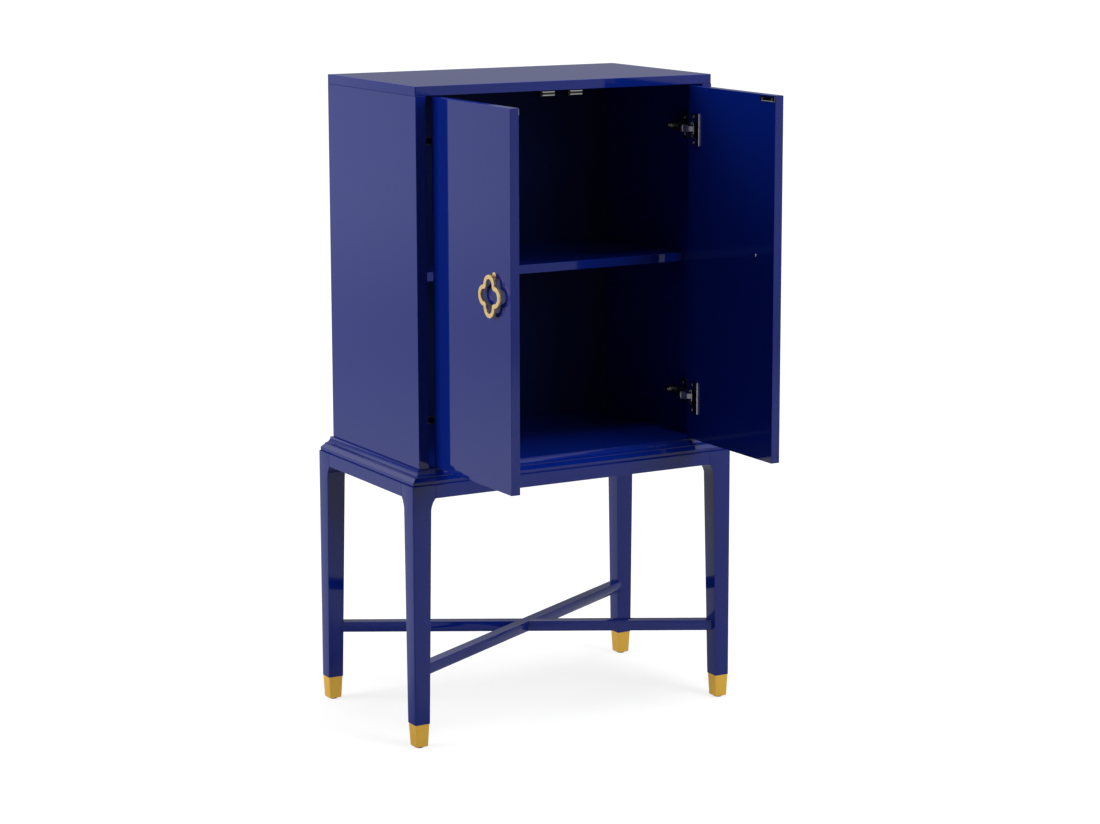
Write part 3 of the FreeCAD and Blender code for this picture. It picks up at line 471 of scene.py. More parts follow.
housing = rough_finish("dark_housing", (0.012, 0.012, 0.014), 0.45, 900, 0.2)
magnet = rough_finish("magnet_black", (0.02, 0.02, 0.022), 0.6, 1500, 0.3)
pad = rough_finish("glide_pad", (0.012, 0.011, 0.010), 0.6, 1200, 0.3)
beech = rough_finish("bare_beech", (0.55, 0.38, 0.22), 0.55, 300, 0.3)
print("matt finishes", [m.name for m in (housing, magnet, pad, beech)])

# %% [markdown]
# ## Which finish goes where
#
# The frame's record names a material slot for each node, so most finishes follow from it. A few
# nodes look different in the picture from others with the same slot, and get a finish of their
# own. For the back panel, the cups, the hinge arms and the hinge plates this is painted shade:
# a darker colour where the inside of the case is in shade. The slot that the record names stays
# as it is.

# %% Finish of each node
FINISH = {
    "lacquered_wood": lacquer, "beech": beech, "brass": foot_brass, "ring_brass": pull_brass,
    "nickel_steel": nickel, "zinc_steel": zinc, "catch_housing": housing, "magnet": magnet,
    "glide_pad": pad,
}
SLOT = {row["node"]: row["material_slot"] for row in frame["record"]["subparts"]}
BODY_NODES = frame["record"]["behaviour"]["bodies"]
BODY = {node: body for body, nodes in BODY_NODES.items() for node in nodes}
COAT = {node: FINISH[slot] for node, slot in SLOT.items()}
# The back panel gets the near-black satin, which is painted shade.
COAT["back_panel"] = satin
for side in SIDES:
    COAT["hinge_cups_" + side] = cup_shaded_nickel
    COAT["hinge_links_" + side] = dull_nickel
    # The hinge arms and plates get the nickel darkened as painted shade.
    COAT["hinge_arms_" + side] = COAT["hinge_plates_" + side] = shaded_nickel
for node, cad_object in frame["nodes"].items():
    cad_object.data.materials.clear()
    cad_object.data.materials.append(COAT[node])
print("finishes", sorted(FINISH))

# %% [markdown]
# ## Pieces and their edges
#
# Nothing made of wood or metal has a perfectly sharp edge, and on a glossy finish the rounded
# edge is what catches the light. The rounds could be modelled one by one, but a Bevel modifier
# does it for the whole piece. Harden Normals keeps the flat faces flat, so that only the edge is
# shaded round. The frame's own meshes are loose triangles, so a copy is merged before it is used.

# %% Piece helpers
ROUND_STEPS = 3
EDGE_ANGLE = math.radians(28)
FLAT_ANGLE = math.radians(0.6)
WELD = 0.000002


def round_edges(made, width, steps):
    """A Bevel modifier on every edge that turns by more than EDGE_ANGLE."""
    rounding = made.modifiers.new("edges", "BEVEL")
    rounding.width = width
    rounding.segments = steps
    rounding.limit_method = "ANGLE"
    rounding.angle_limit = EDGE_ANGLE
    rounding.harden_normals = True


def piece(name, mesh, node, edge):
    """A finished piece that stands for a CAD node: rounded edges, finish, body and slot."""
    made = bpy.data.objects.new(name, mesh)
    bpy.context.scene.collection.objects.link(made)
    mesh.materials.clear()
    mesh.materials.append(COAT[node])
    mesh.shade_smooth()
    if edge:
        round_edges(made, edge, ROUND_STEPS)
    else:
        mesh.set_sharp_from_angle(angle=EDGE_ANGLE)
    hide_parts(node)
    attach(made, BODY[node])
    return made


def mesh_from(bm, name):
    """A mesh data block from a bmesh, which is then freed."""
    mesh = bpy.data.meshes.new(name)
    bm.to_mesh(mesh)
    bm.free()
    return mesh


def box_mesh(name, low, high):
    """The mesh of a board between two corners."""
    bm = bmesh.new()
    size = [b - a for a, b in zip(low, high)]
    middle = (Vector(low) + Vector(high)) / 2
    place = Matrix.Translation(middle) @ Matrix.Diagonal((*size, 1))
    bmesh.ops.create_cube(bm, size=1.0, matrix=place)
    return mesh_from(bm, name)


def merged(node):
    """A CAD node's loose triangles, joined where they meet."""
    bm = bmesh.new()
    bm.from_mesh(frame["nodes"][node].data)
    bmesh.ops.remove_doubles(bm, verts=bm.verts, dist=WELD)
    return bm


def board(node, edge):
    """A board exactly as large as its CAD node."""
    low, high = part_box(node)
    return piece(node + "_board", box_mesh(node + "_board", low, high), node, edge)


def copied(node, edge):
    """A CAD node's own shape, with its flat faces made whole."""
    bm = merged(node)
    bmesh.ops.dissolve_limit(bm, angle_limit=FLAT_ANGLE, verts=bm.verts, edges=bm.edges)
    return piece(node + "_piece", mesh_from(bm, node + "_piece"), node, edge)


def rounded(values):
    """Lengths in metres, shortened for printing."""
    return [round(v, 4) for v in values]


# %% [markdown]
# ## Boards of the case
#
# The top lies on the two sides, and a thin dark line shows where they meet. The floor and the
# back fit between the sides. Such boards are sawn and planed square, so each is a box with its
# real size, read from the frame, and only the round on its edges differs. The holes for dowels,
# pins and screws are left out, because what sits in them hides them.

# %% Case boards
BOARD_EDGE = 1.0 * MM
INNER_EDGE = 0.5 * MM
FINE_EDGE = 0.35 * MM
SEAM_EDGE = 0.8 * MM
board("left_side", SEAM_EDGE)
board("right_side", SEAM_EDGE)
board("shelf", BOARD_EDGE)
board("bottom_panel", FINE_EDGE)
board("back_panel", INNER_EDGE)

# %% [markdown]
# ## The top
#
# The two front corners of the top are rounded in plan, and its upper edges are softened. A bevel
# on a box would round all four corners alike, so the plan is drawn as one outline with an arc at
# each front corner, and stacked up to its thickness. The same way of stacking outlines makes the
# legs, the base board and the feet further on.

# %% Top
TOP_CORNER = 3.0 * MM
CORNER_STEPS = 6


def corner_arc(cx, cy, radius, start, end, steps=CORNER_STEPS):
    """Points of an arc between two angles in degrees, both ends included."""
    turn = [math.radians(start + (end - start) * i / steps) for i in range(steps + 1)]
    return [(cx + radius * math.cos(a), cy + radius * math.sin(a)) for a in turn]


def at_height(outline, z):
    """An outline in plan, put at a height."""
    return [(x, y, z) for x, y in outline]


def stack(bm, levels):
    """Outlines with equally many points, from the lowest up, joined into a closed skin."""
    rings = [[bm.verts.new(point) for point in level] for level in levels]
    for lower, upper in zip(rings, rings[1:]):
        for i in range(len(lower)):
            j = (i + 1) % len(lower)
            bm.faces.new((lower[i], lower[j], upper[j], upper[i]))
    bm.faces.new(rings[0])
    bm.faces.new(rings[-1])
    bmesh.ops.recalc_face_normals(bm, faces=bm.faces)


def stack_mesh(name, levels):
    """The mesh of one stack."""
    bm = bmesh.new()
    stack(bm, levels)
    return mesh_from(bm, name)


low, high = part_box("top_panel")
front_left = corner_arc(low.x + TOP_CORNER, low.y + TOP_CORNER, TOP_CORNER, 180, 270)
front_right = corner_arc(high.x - TOP_CORNER, low.y + TOP_CORNER, TOP_CORNER, 270, 360)
top_outline = front_left + front_right + [(high.x, high.y), (low.x, high.y)]
top_levels = [at_height(top_outline, z) for z in (low.z, high.z)]
piece("top_board", stack_mesh("top_board", top_levels), "top_panel", BOARD_EDGE)
print("top", round(high.x - low.x, 4), "by", round(high.y - low.y, 4))

# %% [markdown]
# ## Doors
#
# Each door is a plain slab with two round bores for the hinge cups, as a joiner bores them. A
# Boolean modifier cuts the bores, and the result is taken as a plain mesh before its edges are
# rounded, so that the round follows the rim of each bore too. The small holes, for screws, for
# the bolt of the pull and for the ends of the cup's pin, are out of sight and left out. Both doors
# stand open at a right angle, so their outer faces look to the sides.

# %% Cutting
def plain_mesh(source, name):
    """The mesh of an object with its modifiers worked in, as a new mesh."""
    graph = bpy.context.evaluated_depsgraph_get()
    mesh = bpy.data.meshes.new_from_object(source.evaluated_get(graph))
    mesh.name = name
    return mesh


def loose(name, data):
    """An object that isn't a piece yet, or only helps to make one."""
    made = bpy.data.objects.new(name, data)
    bpy.context.scene.collection.objects.link(made)
    return made


def minus(mesh, cutter, name):
    """One mesh with another cut out of it."""
    body, tool = loose("body", mesh), loose("tool", cutter)
    cut = body.modifiers.new("cut", "BOOLEAN")
    cut.operation = "DIFFERENCE"
    cut.object = tool
    cut.solver = "EXACT"
    result = plain_mesh(body, name)
    for made in (body, tool):
        bpy.data.objects.remove(made)
    return result


# %% Doors
DOOR_EDGE = 0.7 * MM
BORE_RADIUS = 17.45 * MM
BORE_DEEP = 12.1 * MM
BORE_SIDES = 72
BORE_INSET = 21.5 * MM
FLANGE_HALF = 31.25 * MM
OUTWARD = {"left": -1, "right": 1}
INNER_FACE = {"left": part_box("door_left")[1].x, "right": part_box("door_right")[0].x}


def bore_centres(side):
    """The middles of the two bores of a door, on its inner face, read from the frame."""
    cups_low, cups_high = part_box("hinge_cups_" + side)
    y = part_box("door_" + side)[1].y - BORE_INSET
    heights = (cups_low.z + FLANGE_HALF, cups_high.z - FLANGE_HALF)
    return [Vector((INNER_FACE[side], y, z)) for z in heights]


for side in SIDES:
    node = "door_" + side
    low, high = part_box(node)
    bores = bmesh.new()
    for centre in bore_centres(side):
        place = Matrix.Translation(centre) @ Matrix.Rotation(math.pi / 2, 4, "Y")
        bmesh.ops.create_cone(bores, cap_ends=True, segments=BORE_SIDES, radius1=BORE_RADIUS,
                              radius2=BORE_RADIUS, depth=BORE_DEEP * 2, matrix=place)
    slab = minus(box_mesh("slab", low, high), mesh_from(bores, "drill"), node + "_slab")
    piece(node + "_slab", slab, node, DOOR_EDGE)
    print(node, rounded(low), rounded(high))

# %% [markdown]
# ## Legs
#
# A leg is square in section and shrinks on its two inner faces: a wide head between the aprons,
# a shallow hollow under them, and a long straight taper to the brass. It could be cut from a block
# with curved cutters, but its section changes by a simple rule, so the leg is a stack of rounded
# squares, one at each height, joined like the rungs of a ladder.

# %% Legs
LEG_HEAD = 47.5 * MM
LEG_WAIST = 38.0 * MM
LEG_FOOT = 31.0 * MM
LEG_OUTER_ROUND = 3.0 * MM
LEG_INNER_ROUND = 0.9 * MM
APRON_BOTTOM = 478 * MM
BRACKET = 25.0 * MM
LEG_TOP = 503 * MM
LEG_LOW = 47 * MM
HOLLOW_STEPS = 18


def leg_sections():
    """Height and width of the leg, from the foot to the head."""
    rows = [(LEG_LOW, LEG_FOOT)]
    drop = LEG_HEAD - LEG_WAIST
    radius = (drop * drop + BRACKET * BRACKET) / (2 * drop)
    for i in range(HOLLOW_STEPS + 1):
        up = BRACKET * i / HOLLOW_STEPS
        width = LEG_WAIST + radius - math.sqrt(radius * radius - up * up)
        rows.append((APRON_BOTTOM - BRACKET + up, width))
    rows.append((LEG_TOP, LEG_HEAD))
    return rows


def leg_outline(width):
    """A square outline whose outer corner, at the origin, is rounder than the other three."""
    outer, inner = LEG_OUTER_ROUND, LEG_INNER_ROUND
    points = corner_arc(outer, outer, outer, 180, 270)
    points += corner_arc(width - inner, inner, inner, 270, 360)
    points += corner_arc(width - inner, width - inner, inner, 0, 90)
    points += corner_arc(inner, width - inner, inner, 90, 180)
    return points


for side in SIDES:
    for end in ("front", "back"):
        node = f"leg_{end}_{side}"
        low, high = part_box(node)
        corner_x, to_middle_x = (low.x, 1) if side == "left" else (high.x, -1)
        corner_y, to_middle_y = (low.y, 1) if end == "front" else (high.y, -1)
        levels = [[(corner_x + to_middle_x * x, corner_y + to_middle_y * y, z)
                   for x, y in leg_outline(width)] for z, width in leg_sections()]
        piece(node + "_stack", stack_mesh(node + "_stack", levels), node, 0)
print("leg sections", len(leg_sections()))

# %% [markdown]
# ## Rails, base board and cove
#
# The aprons are plain rails. The coves and the crossed stretchers are cut to fit each other, so
# they keep the frame's own shape, with a small round on every edge. The cove runs round three
# sides with mitred corners. The base board under it is bevelled at the front and the sides and
# square at the back, so it is a stack of two outlines, of which the upper one is drawn in on
# three sides.

# %% Rails and mouldings
RAIL_EDGE = 0.8 * MM
for end in ("front", "back", "left", "right"):
    board("apron_" + end, RAIL_EDGE)
for end in ("front", "left", "right"):
    copied("cove_" + end, FINE_EDGE)
for level in ("lower", "upper"):
    copied("stretcher_" + level, RAIL_EDGE)

# %% Base board
SLOPE_WIDTH = 9.5 * MM
SLOPE_DROP = 6.0 * MM
low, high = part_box("base_board")
left, right, front = low.x + SLOPE_WIDTH, high.x - SLOPE_WIDTH, low.y + SLOPE_WIDTH
full = [(low.x, low.y), (high.x, low.y), (high.x, high.y), (low.x, high.y)]
drawn_in = [(left, front), (right, front), (right, high.y), (left, high.y)]
base_levels = [(full, low.z), (full, high.z - SLOPE_DROP), (drawn_in, high.z)]
base_mesh = stack_mesh("base_board_slab", [at_height(*level) for level in base_levels])
piece("base_board_slab", base_mesh, "base_board", FINE_EDGE)
print("base board", rounded(low), rounded(high))

# %% [markdown]
# ## Brass feet
#
# Each foot is a tapered cup with round corners, closed below, and stands on a round pad. Its
# section is a rounded square at both ends, so it is stacked like the leg, with the lower edge
# rolled in and the top edge just softened. The pad is a stack of circles.

# %% Ferrules and glides
FERRULE_TOP = 29.6 * MM
FERRULE_BOTTOM = 25.5 * MM
FERRULE_CORNER = 2.0 * MM
FERRULE_LOW = 3.0 * MM
FERRULE_HIGH = 47.0 * MM
RIM_DROP = 0.4 * MM
RIM_IN = 0.5 * MM
ROLL = 1.2 * MM
ROLL_STEPS = 6
GLIDE_RADIUS = 8.0 * MM
GLIDE_SOFT = 0.6 * MM
GLIDE_STEPS = 40


def round_square(cx, cy, width, radius):
    """A square outline with four equal round corners."""
    half = width / 2 - radius
    points = corner_arc(cx - half, cy - half, radius, 180, 270)
    points += corner_arc(cx + half, cy - half, radius, 270, 360)
    points += corner_arc(cx + half, cy + half, radius, 0, 90)
    points += corner_arc(cx - half, cy + half, radius, 90, 180)
    return points


def ferrule_levels():
    """Height and width of a foot, from its bottom to its top."""
    rows = []
    for i in range(ROLL_STEPS + 1):
        turn = math.pi / 2 * i / ROLL_STEPS
        inset = ROLL * (1 - math.sin(turn))
        rows.append((FERRULE_LOW + ROLL * (1 - math.cos(turn)), FERRULE_BOTTOM - 2 * inset))
    rows.append((FERRULE_HIGH - RIM_DROP, FERRULE_TOP))
    rows.append((FERRULE_HIGH, FERRULE_TOP - RIM_IN))
    return rows


def foot_places():
    """The middles of the four feet on the floor."""
    low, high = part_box("glides")
    xs = (low.x + GLIDE_RADIUS, high.x - GLIDE_RADIUS)
    ys = (low.y + GLIDE_RADIUS, high.y - GLIDE_RADIUS)
    return [(x, y) for x in xs for y in ys]


feet, pads = bmesh.new(), bmesh.new()
glide_rows = ((0, GLIDE_RADIUS - GLIDE_SOFT), (GLIDE_SOFT, GLIDE_RADIUS),
              (FERRULE_LOW, GLIDE_RADIUS))
for x, y in foot_places():
    stack(feet, [at_height(round_square(x, y, width, FERRULE_CORNER), z)
                 for z, width in ferrule_levels()])
    stack(pads, [at_height(corner_arc(x, y, radius, 0, 360, GLIDE_STEPS)[:-1], z)
                 for z, radius in glide_rows])
piece("brass_feet", mesh_from(feet, "brass_feet"), "ferrules", 0)
piece("glide_pads", mesh_from(pads, "glide_pads"), "glides", 0)
print("feet at", [rounded(place) for place in foot_places()])

# %% [markdown]
# ## Ring pulls with Geometry Nodes
#
# The pull is a flat band that runs round four equal lobes. Its middle line is made of arcs that
# flow into each other, so the whole ring follows one rule: sweep one profile along one path.
# Geometry Nodes does this with Curve to Mesh. The profile is a rectangle with round corners, and
# its width, thickness and corner are named inputs of the tree. The modifier's result is taken as a
# plain mesh, because the modifier is not kept on the finished piece.

# %% Ring path
RING_SIZE = 78.0 * MM
LOBE = 19.4 * MM
BAND = 8.0 * MM
LOBE_STEPS = 40
NOTCH_STEPS = 14


def ring_path():
    """The middle line of the band as (y, z) points round the ring's centre."""
    centre_out = RING_SIZE / 2 - LOBE
    root = math.sqrt(2 * LOBE * LOBE - centre_out * centre_out)
    notch = (centre_out + root) / 2
    lobe = corner_arc(centre_out, 0, LOBE - BAND / 2, -90, 90, LOBE_STEPS)
    turn_in = corner_arc(notch, notch, BAND / 2, 270, 180, NOTCH_STEPS)[1:-1]
    points = []
    for quarter in range(4):
        a = math.radians(90 * quarter)
        for y, z in lobe + turn_in:
            points.append((y * math.cos(a) - z * math.sin(a), y * math.sin(a) + z * math.cos(a)))
    return points


print("ring path", len(ring_path()), "points")

# %% Tree helpers
def new_tree(name, start, numbers):
    """A Geometry Nodes tree whose inputs are a geometry, some numbers and a finish."""
    tree = bpy.data.node_groups.new(name, "GeometryNodeTree")
    rows = [(start, "NodeSocketGeometry")] + [(number, "NodeSocketFloat") for number in numbers]
    for label, kind in rows + [("Finish", "NodeSocketMaterial")]:
        tree.interface.new_socket(label, in_out="INPUT", socket_type=kind)
    tree.interface.new_socket("Geometry", in_out="OUTPUT", socket_type="NodeSocketGeometry")
    return tree, add_node(tree, "NodeGroupInput").outputs


def end_tree(tree, geometry, finish):
    """The end of a tree: its copies are made real and get their material."""
    whole = add_node(tree, "GeometryNodeRealizeInstances")
    join(tree, geometry, whole.inputs["Geometry"])
    painted = add_node(tree, "GeometryNodeSetMaterial")
    join(tree, whole.outputs["Geometry"], painted.inputs["Geometry"])
    join(tree, finish, painted.inputs["Material"])
    result = add_node(tree, "NodeGroupOutput")
    join(tree, painted.outputs["Geometry"], result.inputs["Geometry"])


def set_inputs(modifier, values):
    """Set a modifier's inputs by their sockets' identifiers, and stop at a name that isn't one."""
    inputs = {item.name: item.identifier for item in modifier.node_group.interface.items_tree
              if item.item_type == "SOCKET" and item.in_out == "INPUT"}
    for name, value in values.items():
        modifier[inputs[name]] = value


# %% Band tree
BAND_SIZES = {"Band": BAND, "Thickness": 6.0 * MM, "Edge": 0.9 * MM}
BAND_CORNER_POINTS = 4


def band_tree():
    """A node tree that sweeps a rounded rectangle along a curve."""
    tree, given = new_tree("swept_band", "Path", BAND_SIZES)
    profile = add_node(tree, "GeometryNodeCurvePrimitiveQuadrilateral")
    join(tree, given["Thickness"], profile.inputs["Width"])
    join(tree, given["Band"], profile.inputs["Height"])
    soft = add_node(tree, "GeometryNodeFilletCurve", mode="POLY", Count=BAND_CORNER_POINTS,
                    Limit_Radius=True)
    join(tree, profile.outputs["Curve"], soft.inputs["Curve"])
    join(tree, given["Edge"], soft.inputs["Radius"])
    sweep = add_node(tree, "GeometryNodeCurveToMesh")
    join(tree, given["Path"], sweep.inputs["Curve"])
    join(tree, soft.outputs["Curve"], sweep.inputs["Profile Curve"])
    end_tree(tree, sweep.outputs["Mesh"], given["Finish"])
    return tree


swept_band = band_tree()
print("band tree", len(swept_band.nodes), "nodes")

# %% [markdown]
# ## The rings and their slots
#
# The top of each ring is slotted from behind, so that the tongue of the post can reach in and hold
# the pin. A Boolean modifier cuts the slot out of the swept band, as a cutter would on the bench.
# The hole for the pin itself would be out of sight inside the band, and is left out. The ring's
# place is read from the joint that it swings on.

# %% Swept ring
def swept_ring(centre):
    """The plain mesh that the band tree makes along the ring's path."""
    curve = bpy.data.curves.new("ring_path", "CURVE")
    curve.dimensions = "3D"
    spline = curve.splines.new("POLY")
    points = ring_path()
    spline.points.add(len(points) - 1)
    for target, (y, z) in zip(spline.points, points):
        target.co = (centre.x, centre.y + y, centre.z + z, 1)
    spline.use_cyclic_u = True
    path = loose("ring_path", curve)
    sweep = path.modifiers.new("band", "NODES")
    sweep.node_group = swept_band
    set_inputs(sweep, BAND_SIZES | {"Finish": pull_brass})
    bm = bmesh.new()
    bm.from_mesh(plain_mesh(path, "swept"))
    bmesh.ops.recalc_face_normals(bm, faces=bm.faces)
    bpy.data.objects.remove(path)
    return mesh_from(bm, "swept_ring")


# %% Rings
PIVOT_DROP = 4.0 * MM
SLOT_WIDE = 3.2 * MM
SLOT_FRONT = 1.95 * MM
SLOT_DROP = 2.2 * MM
SPARE = 2.0 * MM
RING_EDGE_ANGLE = math.radians(40)
for side, outward in OUTWARD.items():
    node = "pull_ring_" + side
    low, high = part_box(node)
    joint = next(row for row in frame["joints"] if row["child"] == side + "_ring")
    pivot = Vector(joint["pos_m"])
    middle_x = (low.x + high.x) / 2
    inner_x = middle_x - outward * BAND_SIZES["Thickness"] / 2
    centre = Vector((middle_x, pivot.y, pivot.z + PIVOT_DROP - RING_SIZE / 2))
    reach = sorted((pivot.x + outward * SLOT_FRONT, inner_x - outward * SPARE))
    slot_low = (reach[0], pivot.y - SLOT_WIDE / 2, pivot.z - SLOT_DROP)
    slot_high = (reach[1], pivot.y + SLOT_WIDE / 2, high.z + SPARE)
    name = "ring_pull_" + side
    mesh = minus(swept_ring(centre), box_mesh("slot", slot_low, slot_high), name)
    ring = piece(name, mesh, node, 0)
    ring.data.set_sharp_from_angle(angle=RING_EDGE_ANGLE)
    print(name, len(ring.data.polygons), "faces", rounded(centre))

# %% [markdown]
# ## Small parts
#
# The hinges, catches, strikes, posts, pins and glue blocks have all their bends and bores in the
# frame, and working parts have to stay true to size. Modelling them again would only risk that,
# so they keep the frame's shape, with flat faces made whole and real edges sharp in the shading.

# %% Small parts
SMALL = ["shelf_pins", "corner_blocks", "catch_bodies", "catch_magnets", "catch_poles"]
PER_DOOR = ["hinge_plates", "hinge_arms", "hinge_links", "hinge_cups", "strike", "pull_post",
            "pull_bolt", "pull_pin", "link_pins"]
SMALL += [f"{name}_{side}" for side in SIDES for name in PER_DOOR]
for node in SMALL:
    copied(node, 0)
print("small parts", len(SMALL))

# %% [markdown]
# ## A fuller dome on the posts
#
# In the picture the post of each pull shows above its ring as a full round button. A new dome
# could be turned, but the frame's dome only has to grow a little: its points move outwards from
# its middle, and the tongue that holds the ring stays as it is. A factor of 1.28 was tried too,
# but that dome touched the ring where it hangs against the door.

# %% Post domes
SAME = 0.05 * MM
DOME_HIGH = 3.25 * MM
DOME_FULLER = 1.20
for side, outward in OUTWARD.items():
    outer_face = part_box("door_" + side)[0 if side == "left" else 1].x
    bolt_low, bolt_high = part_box("pull_bolt_" + side)
    middle = (bolt_low + bolt_high) / 2
    for vert in bpy.data.objects[f"pull_post_{side}_piece"].data.vertices:
        height = (vert.co.x - outer_face) * outward
        if -SAME <= height <= DOME_HIGH:
            vert.co.y = middle.y + (vert.co.y - middle.y) * DOME_FULLER
            vert.co.z = middle.z + (vert.co.z - middle.z) * DOME_FULLER
    print("dome", side, rounded(middle))

# %% [markdown]
# ## Depth in the cups
#
# The material of the cups needs to know how deep a point lies, to darken the cup there as painted
# shade. Each point gets its depth under the inner face of the door, as a share of the first few
# millimetres. It is stored on the piece as an attribute, which the material reads and which stays
# with the piece wherever it moves.

# %% Cup depth
FULL_SHADE_DEPTH = 3.0 * MM
for side, outward in OUTWARD.items():
    mesh = bpy.data.objects[f"hinge_cups_{side}_piece"].data
    deep = mesh.attributes.new("deep", "FLOAT", "POINT")
    for vert, item in zip(mesh.vertices, deep.data):
        under = (vert.co.x - INNER_FACE[side]) * outward
        item.value = min(max(under / FULL_SHADE_DEPTH, 0.0), 1.0)
    print("cups", side, "inner face", round(INNER_FACE[side], 4))

# %% [markdown]
# ## Screws with Geometry Nodes
#
# A screw is the same thing many times over, so one tree makes them all: it builds one head with a
# cross recess and one shank, and puts a copy at each point, turned to the direction stored there.
# The places, directions and sizes are measured from the frame's own screws, so that each stays in
# its hole.

# %% Measure the screws
def shells(node):
    """The separate solids of a CAD node, as lists of points."""
    bm = merged(node)
    left = set(bm.verts)
    found = []
    while left:
        todo = [left.pop()]
        shell = []
        while todo:
            vert = todo.pop()
            shell.append(vert.co.copy())
            for edge in vert.link_edges:
                other = edge.other_vert(vert)
                if other in left:
                    left.remove(other)
                    todo.append(other)
        found.append(shell)
    bm.free()
    return found


def across(offset, axis):
    """The distance from a screw's axis."""
    flat = offset.copy()
    flat[axis] = 0
    return flat.length


def measured(points):
    """Place, direction and sizes of one screw, whose head is the end with the larger radius."""
    low = Vector([min(p[i] for p in points) for i in range(3)])
    high = Vector([max(p[i] for p in points) for i in range(3)])
    size = high - low
    axis = max(range(3), key=lambda i: size[i])
    middle = (low + high) / 2
    ends = []
    for end in (low[axis], high[axis]):
        near = [p for p in points if abs(p[axis] - end) < SAME]
        ends.append(max(across(p - middle, axis) for p in near))
    head_low = ends[0] > ends[1]
    face = low[axis] if head_low else high[axis]
    steps = sorted({round(abs(p[axis] - face) / SAME) for p in points})
    head_height = steps[1] * SAME
    beyond = [p for p in points if abs(abs(p[axis] - face) - head_height) < SAME]
    aim = Vector((0, 0, 0))
    aim[axis] = 1 if head_low else -1
    place = middle.copy()
    place[axis] = face
    end_radius = max(across(p - middle, axis) for p in beyond)
    sizes = (max(ends), head_height, end_radius, min(ends), size[axis])
    return place, aim, tuple(round(v, 5) for v in sizes)


print("one screw", measured(shells("hinge_screws")[0]))

# %% Screw head and shank
SCREW_SIZES = ("Head Radius", "Head Height", "Head End Radius", "Shank Radius", "Length")
SCREW_SIDES = 28
RECESS_WIDE = 0.36
RECESS_LONG = 1.15
RECESS_DEEP = 0.55


def vector_of(tree, x=0, y=0, z=0):
    """A vector from numbers or sockets."""
    made = add_node(tree, "ShaderNodeCombineXYZ")
    for name, value in (("X", x), ("Y", y), ("Z", z)):
        feed(tree, value, made.inputs[name])
    return made.outputs[0]


def screw_head(tree, given):
    """A head with its face at the origin and a cross recess cut into it."""
    head = add_node(tree, "GeometryNodeMeshCone", Vertices=SCREW_SIDES)
    join(tree, given["Head Radius"], head.inputs["Radius Bottom"])
    join(tree, given["Head End Radius"], head.inputs["Radius Top"])
    join(tree, given["Head Height"], head.inputs["Depth"])
    long_side = maths(tree, "MULTIPLY", given["Head Radius"], RECESS_LONG)
    short_side = maths(tree, "MULTIPLY", given["Head Radius"], RECESS_WIDE)
    deep_side = maths(tree, "MULTIPLY", given["Head Height"], RECESS_DEEP * 2)
    recess = add_node(tree, "GeometryNodeMeshBoolean", operation="DIFFERENCE", solver="EXACT")
    join(tree, head.outputs["Mesh"], recess.inputs["Mesh 1"])
    for x, y in ((long_side, short_side), (short_side, long_side)):
        bar = add_node(tree, "GeometryNodeMeshCube")
        join(tree, vector_of(tree, x, y, deep_side), bar.inputs["Size"])
        join(tree, bar.outputs["Mesh"], recess.inputs["Mesh 2"])
    return recess.outputs["Mesh"]


def screw_shank(tree, given):
    """A shank from the end of the head to the full length."""
    shank = add_node(tree, "GeometryNodeMeshCylinder", Vertices=SCREW_SIDES)
    length, head_height = given["Length"], given["Head Height"]
    join(tree, given["Shank Radius"], shank.inputs["Radius"])
    join(tree, maths(tree, "SUBTRACT", length, head_height), shank.inputs["Depth"])
    middle = maths(tree, "MULTIPLY", maths(tree, "ADD", length, head_height), 0.5)
    lowered = add_node(tree, "GeometryNodeTransform")
    join(tree, shank.outputs["Mesh"], lowered.inputs["Geometry"])
    join(tree, vector_of(tree, z=middle), lowered.inputs["Translation"])
    return lowered.outputs["Geometry"]


# %% Screw tree
def screw_tree():
    """A node tree that puts a cross-headed screw at each point."""
    tree, given = new_tree("screws", "Places", SCREW_SIZES)
    both = add_node(tree, "GeometryNodeJoinGeometry")
    join(tree, screw_head(tree, given), both.inputs["Geometry"])
    join(tree, screw_shank(tree, given), both.inputs["Geometry"])
    aim = add_node(tree, "GeometryNodeInputNamedAttribute", data_type="FLOAT_VECTOR", Name="aim")
    turn = add_node(tree, "FunctionNodeAlignRotationToVector", axis="Z")
    join(tree, aim.outputs["Attribute"], turn.inputs["Vector"])
    placed = add_node(tree, "GeometryNodeInstanceOnPoints")
    join(tree, given["Places"], placed.inputs["Points"])
    join(tree, both.outputs["Geometry"], placed.inputs["Instance"])
    join(tree, turn.outputs["Rotation"], placed.inputs["Rotation"])
    end_tree(tree, placed.outputs["Instances"], given["Finish"])
    return tree


screws = screw_tree()
print("screw tree", len(screws.nodes), "nodes")

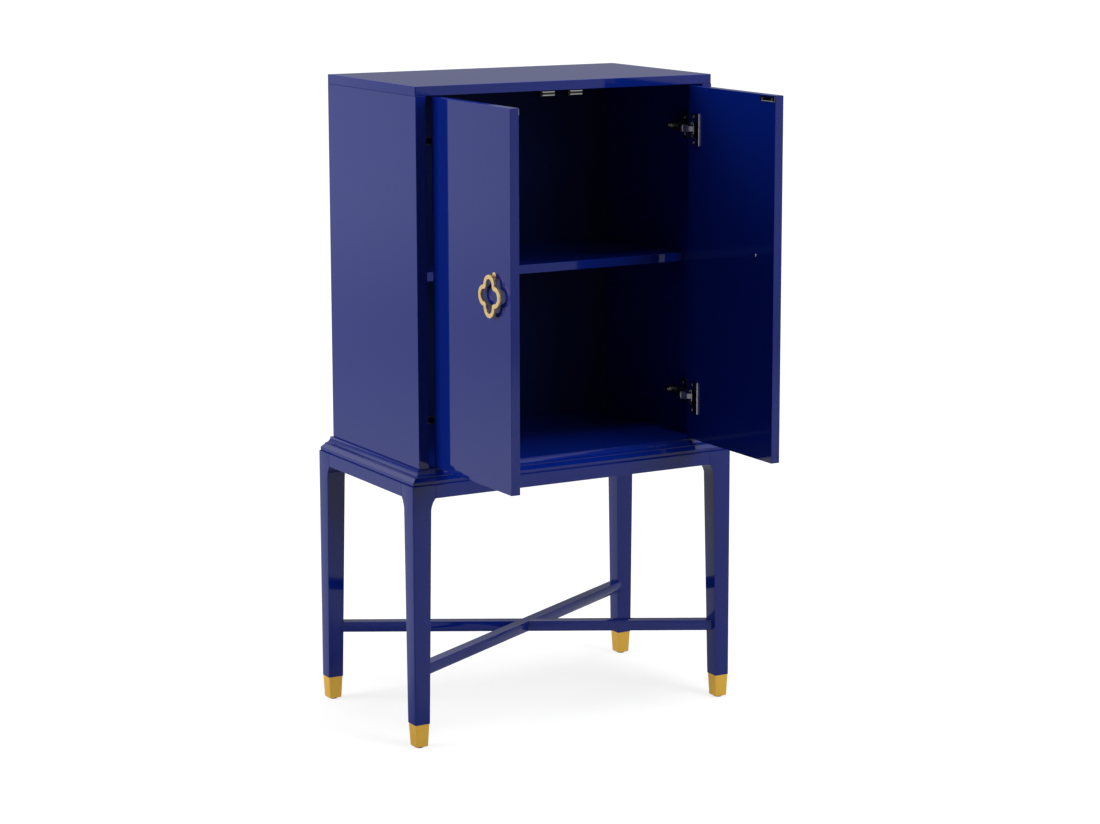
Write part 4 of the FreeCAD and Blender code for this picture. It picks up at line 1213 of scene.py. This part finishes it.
# %% Screws
SCREW_NODES = ["hinge_screws", "catch_screws", "frame_screws"]
SCREW_NODES += ["door_screws_" + side for side in SIDES]
for node in SCREW_NODES:
    kinds = {}
    for shell in shells(node):
        place, aim, screw_sizes = measured(shell)
        kinds.setdefault(screw_sizes, []).append((place, aim))
    together = bmesh.new()
    for screw_sizes, rows in kinds.items():
        points = bpy.data.meshes.new("places")
        points.from_pydata([place for place, aim in rows], [], [])
        stored = points.attributes.new("aim", "FLOAT_VECTOR", "POINT")
        for item, (place, aim) in zip(stored.data, rows):
            item.vector = aim
        holder = loose("places", points)
        maker = holder.modifiers.new("screws", "NODES")
        maker.node_group = screws
        set_inputs(maker, dict(zip(SCREW_SIZES, screw_sizes)) | {"Finish": COAT[node]})
        together.from_mesh(plain_mesh(holder, "made"))
        bpy.data.objects.remove(holder)
    bmesh.ops.recalc_face_normals(together, faces=together.faces)
    piece(node + "_turned", mesh_from(together, node + "_turned"), node, 0)
    print(node, [(len(rows), screw_sizes) for screw_sizes, rows in kinds.items()])

# %% [markdown]
# ## Lips of the hinge flanges
#
# In the picture the brightest line on each hinge runs along the flange of the cup, on the side
# away from the hinge. It is read as a rolled lip. A bar with well rounded edges stands for it: the
# Bevel modifier makes it nearly half round, so a soft light always finds a place on it. It laps a
# little over the edge of the flange, so that the two read as one piece of metal. Its nickel is
# lighter than the cup's, a painted highlight.

# %% Flange lips
LIP_WIDE = 4.0 * MM
LIP_OVER = 0.8 * MM
LIP_HIGH = 3.2 * MM
LIP_ROUND = 1.2 * MM
LIP_STEPS = 4
for side, outward in OUTWARD.items():
    lips = bmesh.new()
    near, far = sorted((INNER_FACE[side], INNER_FACE[side] - outward * LIP_HIGH))
    for shell in shells("hinge_cups_" + side):
        bottom, top = min(p.z for p in shell), max(p.z for p in shell)
        flange_top = -outward * max(-outward * p.x for p in shell)
        edge = min(p.y for p in shell if abs(p.x - flange_top) < SAME) + LIP_OVER
        low, high = (near, edge - LIP_WIDE, bottom), (far, edge, top)
        lips.from_mesh(box_mesh("lip", low, high))
    name = "hinge_lips_" + side
    lip = loose(name, mesh_from(lips, name))
    lip.data.materials.append(lip_highlight_nickel)
    lip.data.shade_smooth()
    round_edges(lip, LIP_ROUND, LIP_STEPS)
    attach(lip, side + "_door")
    print(name, rounded(low), rounded(high))

# %% [markdown]
# ## The finished size
#
# The size of the finished model's box, without the floor, is printed. The finished
# model has to stay inside the frame's box.

# %% Sizes
low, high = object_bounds()
print("visual size", [round(b - a, 4) for a, b in zip(low, high)])
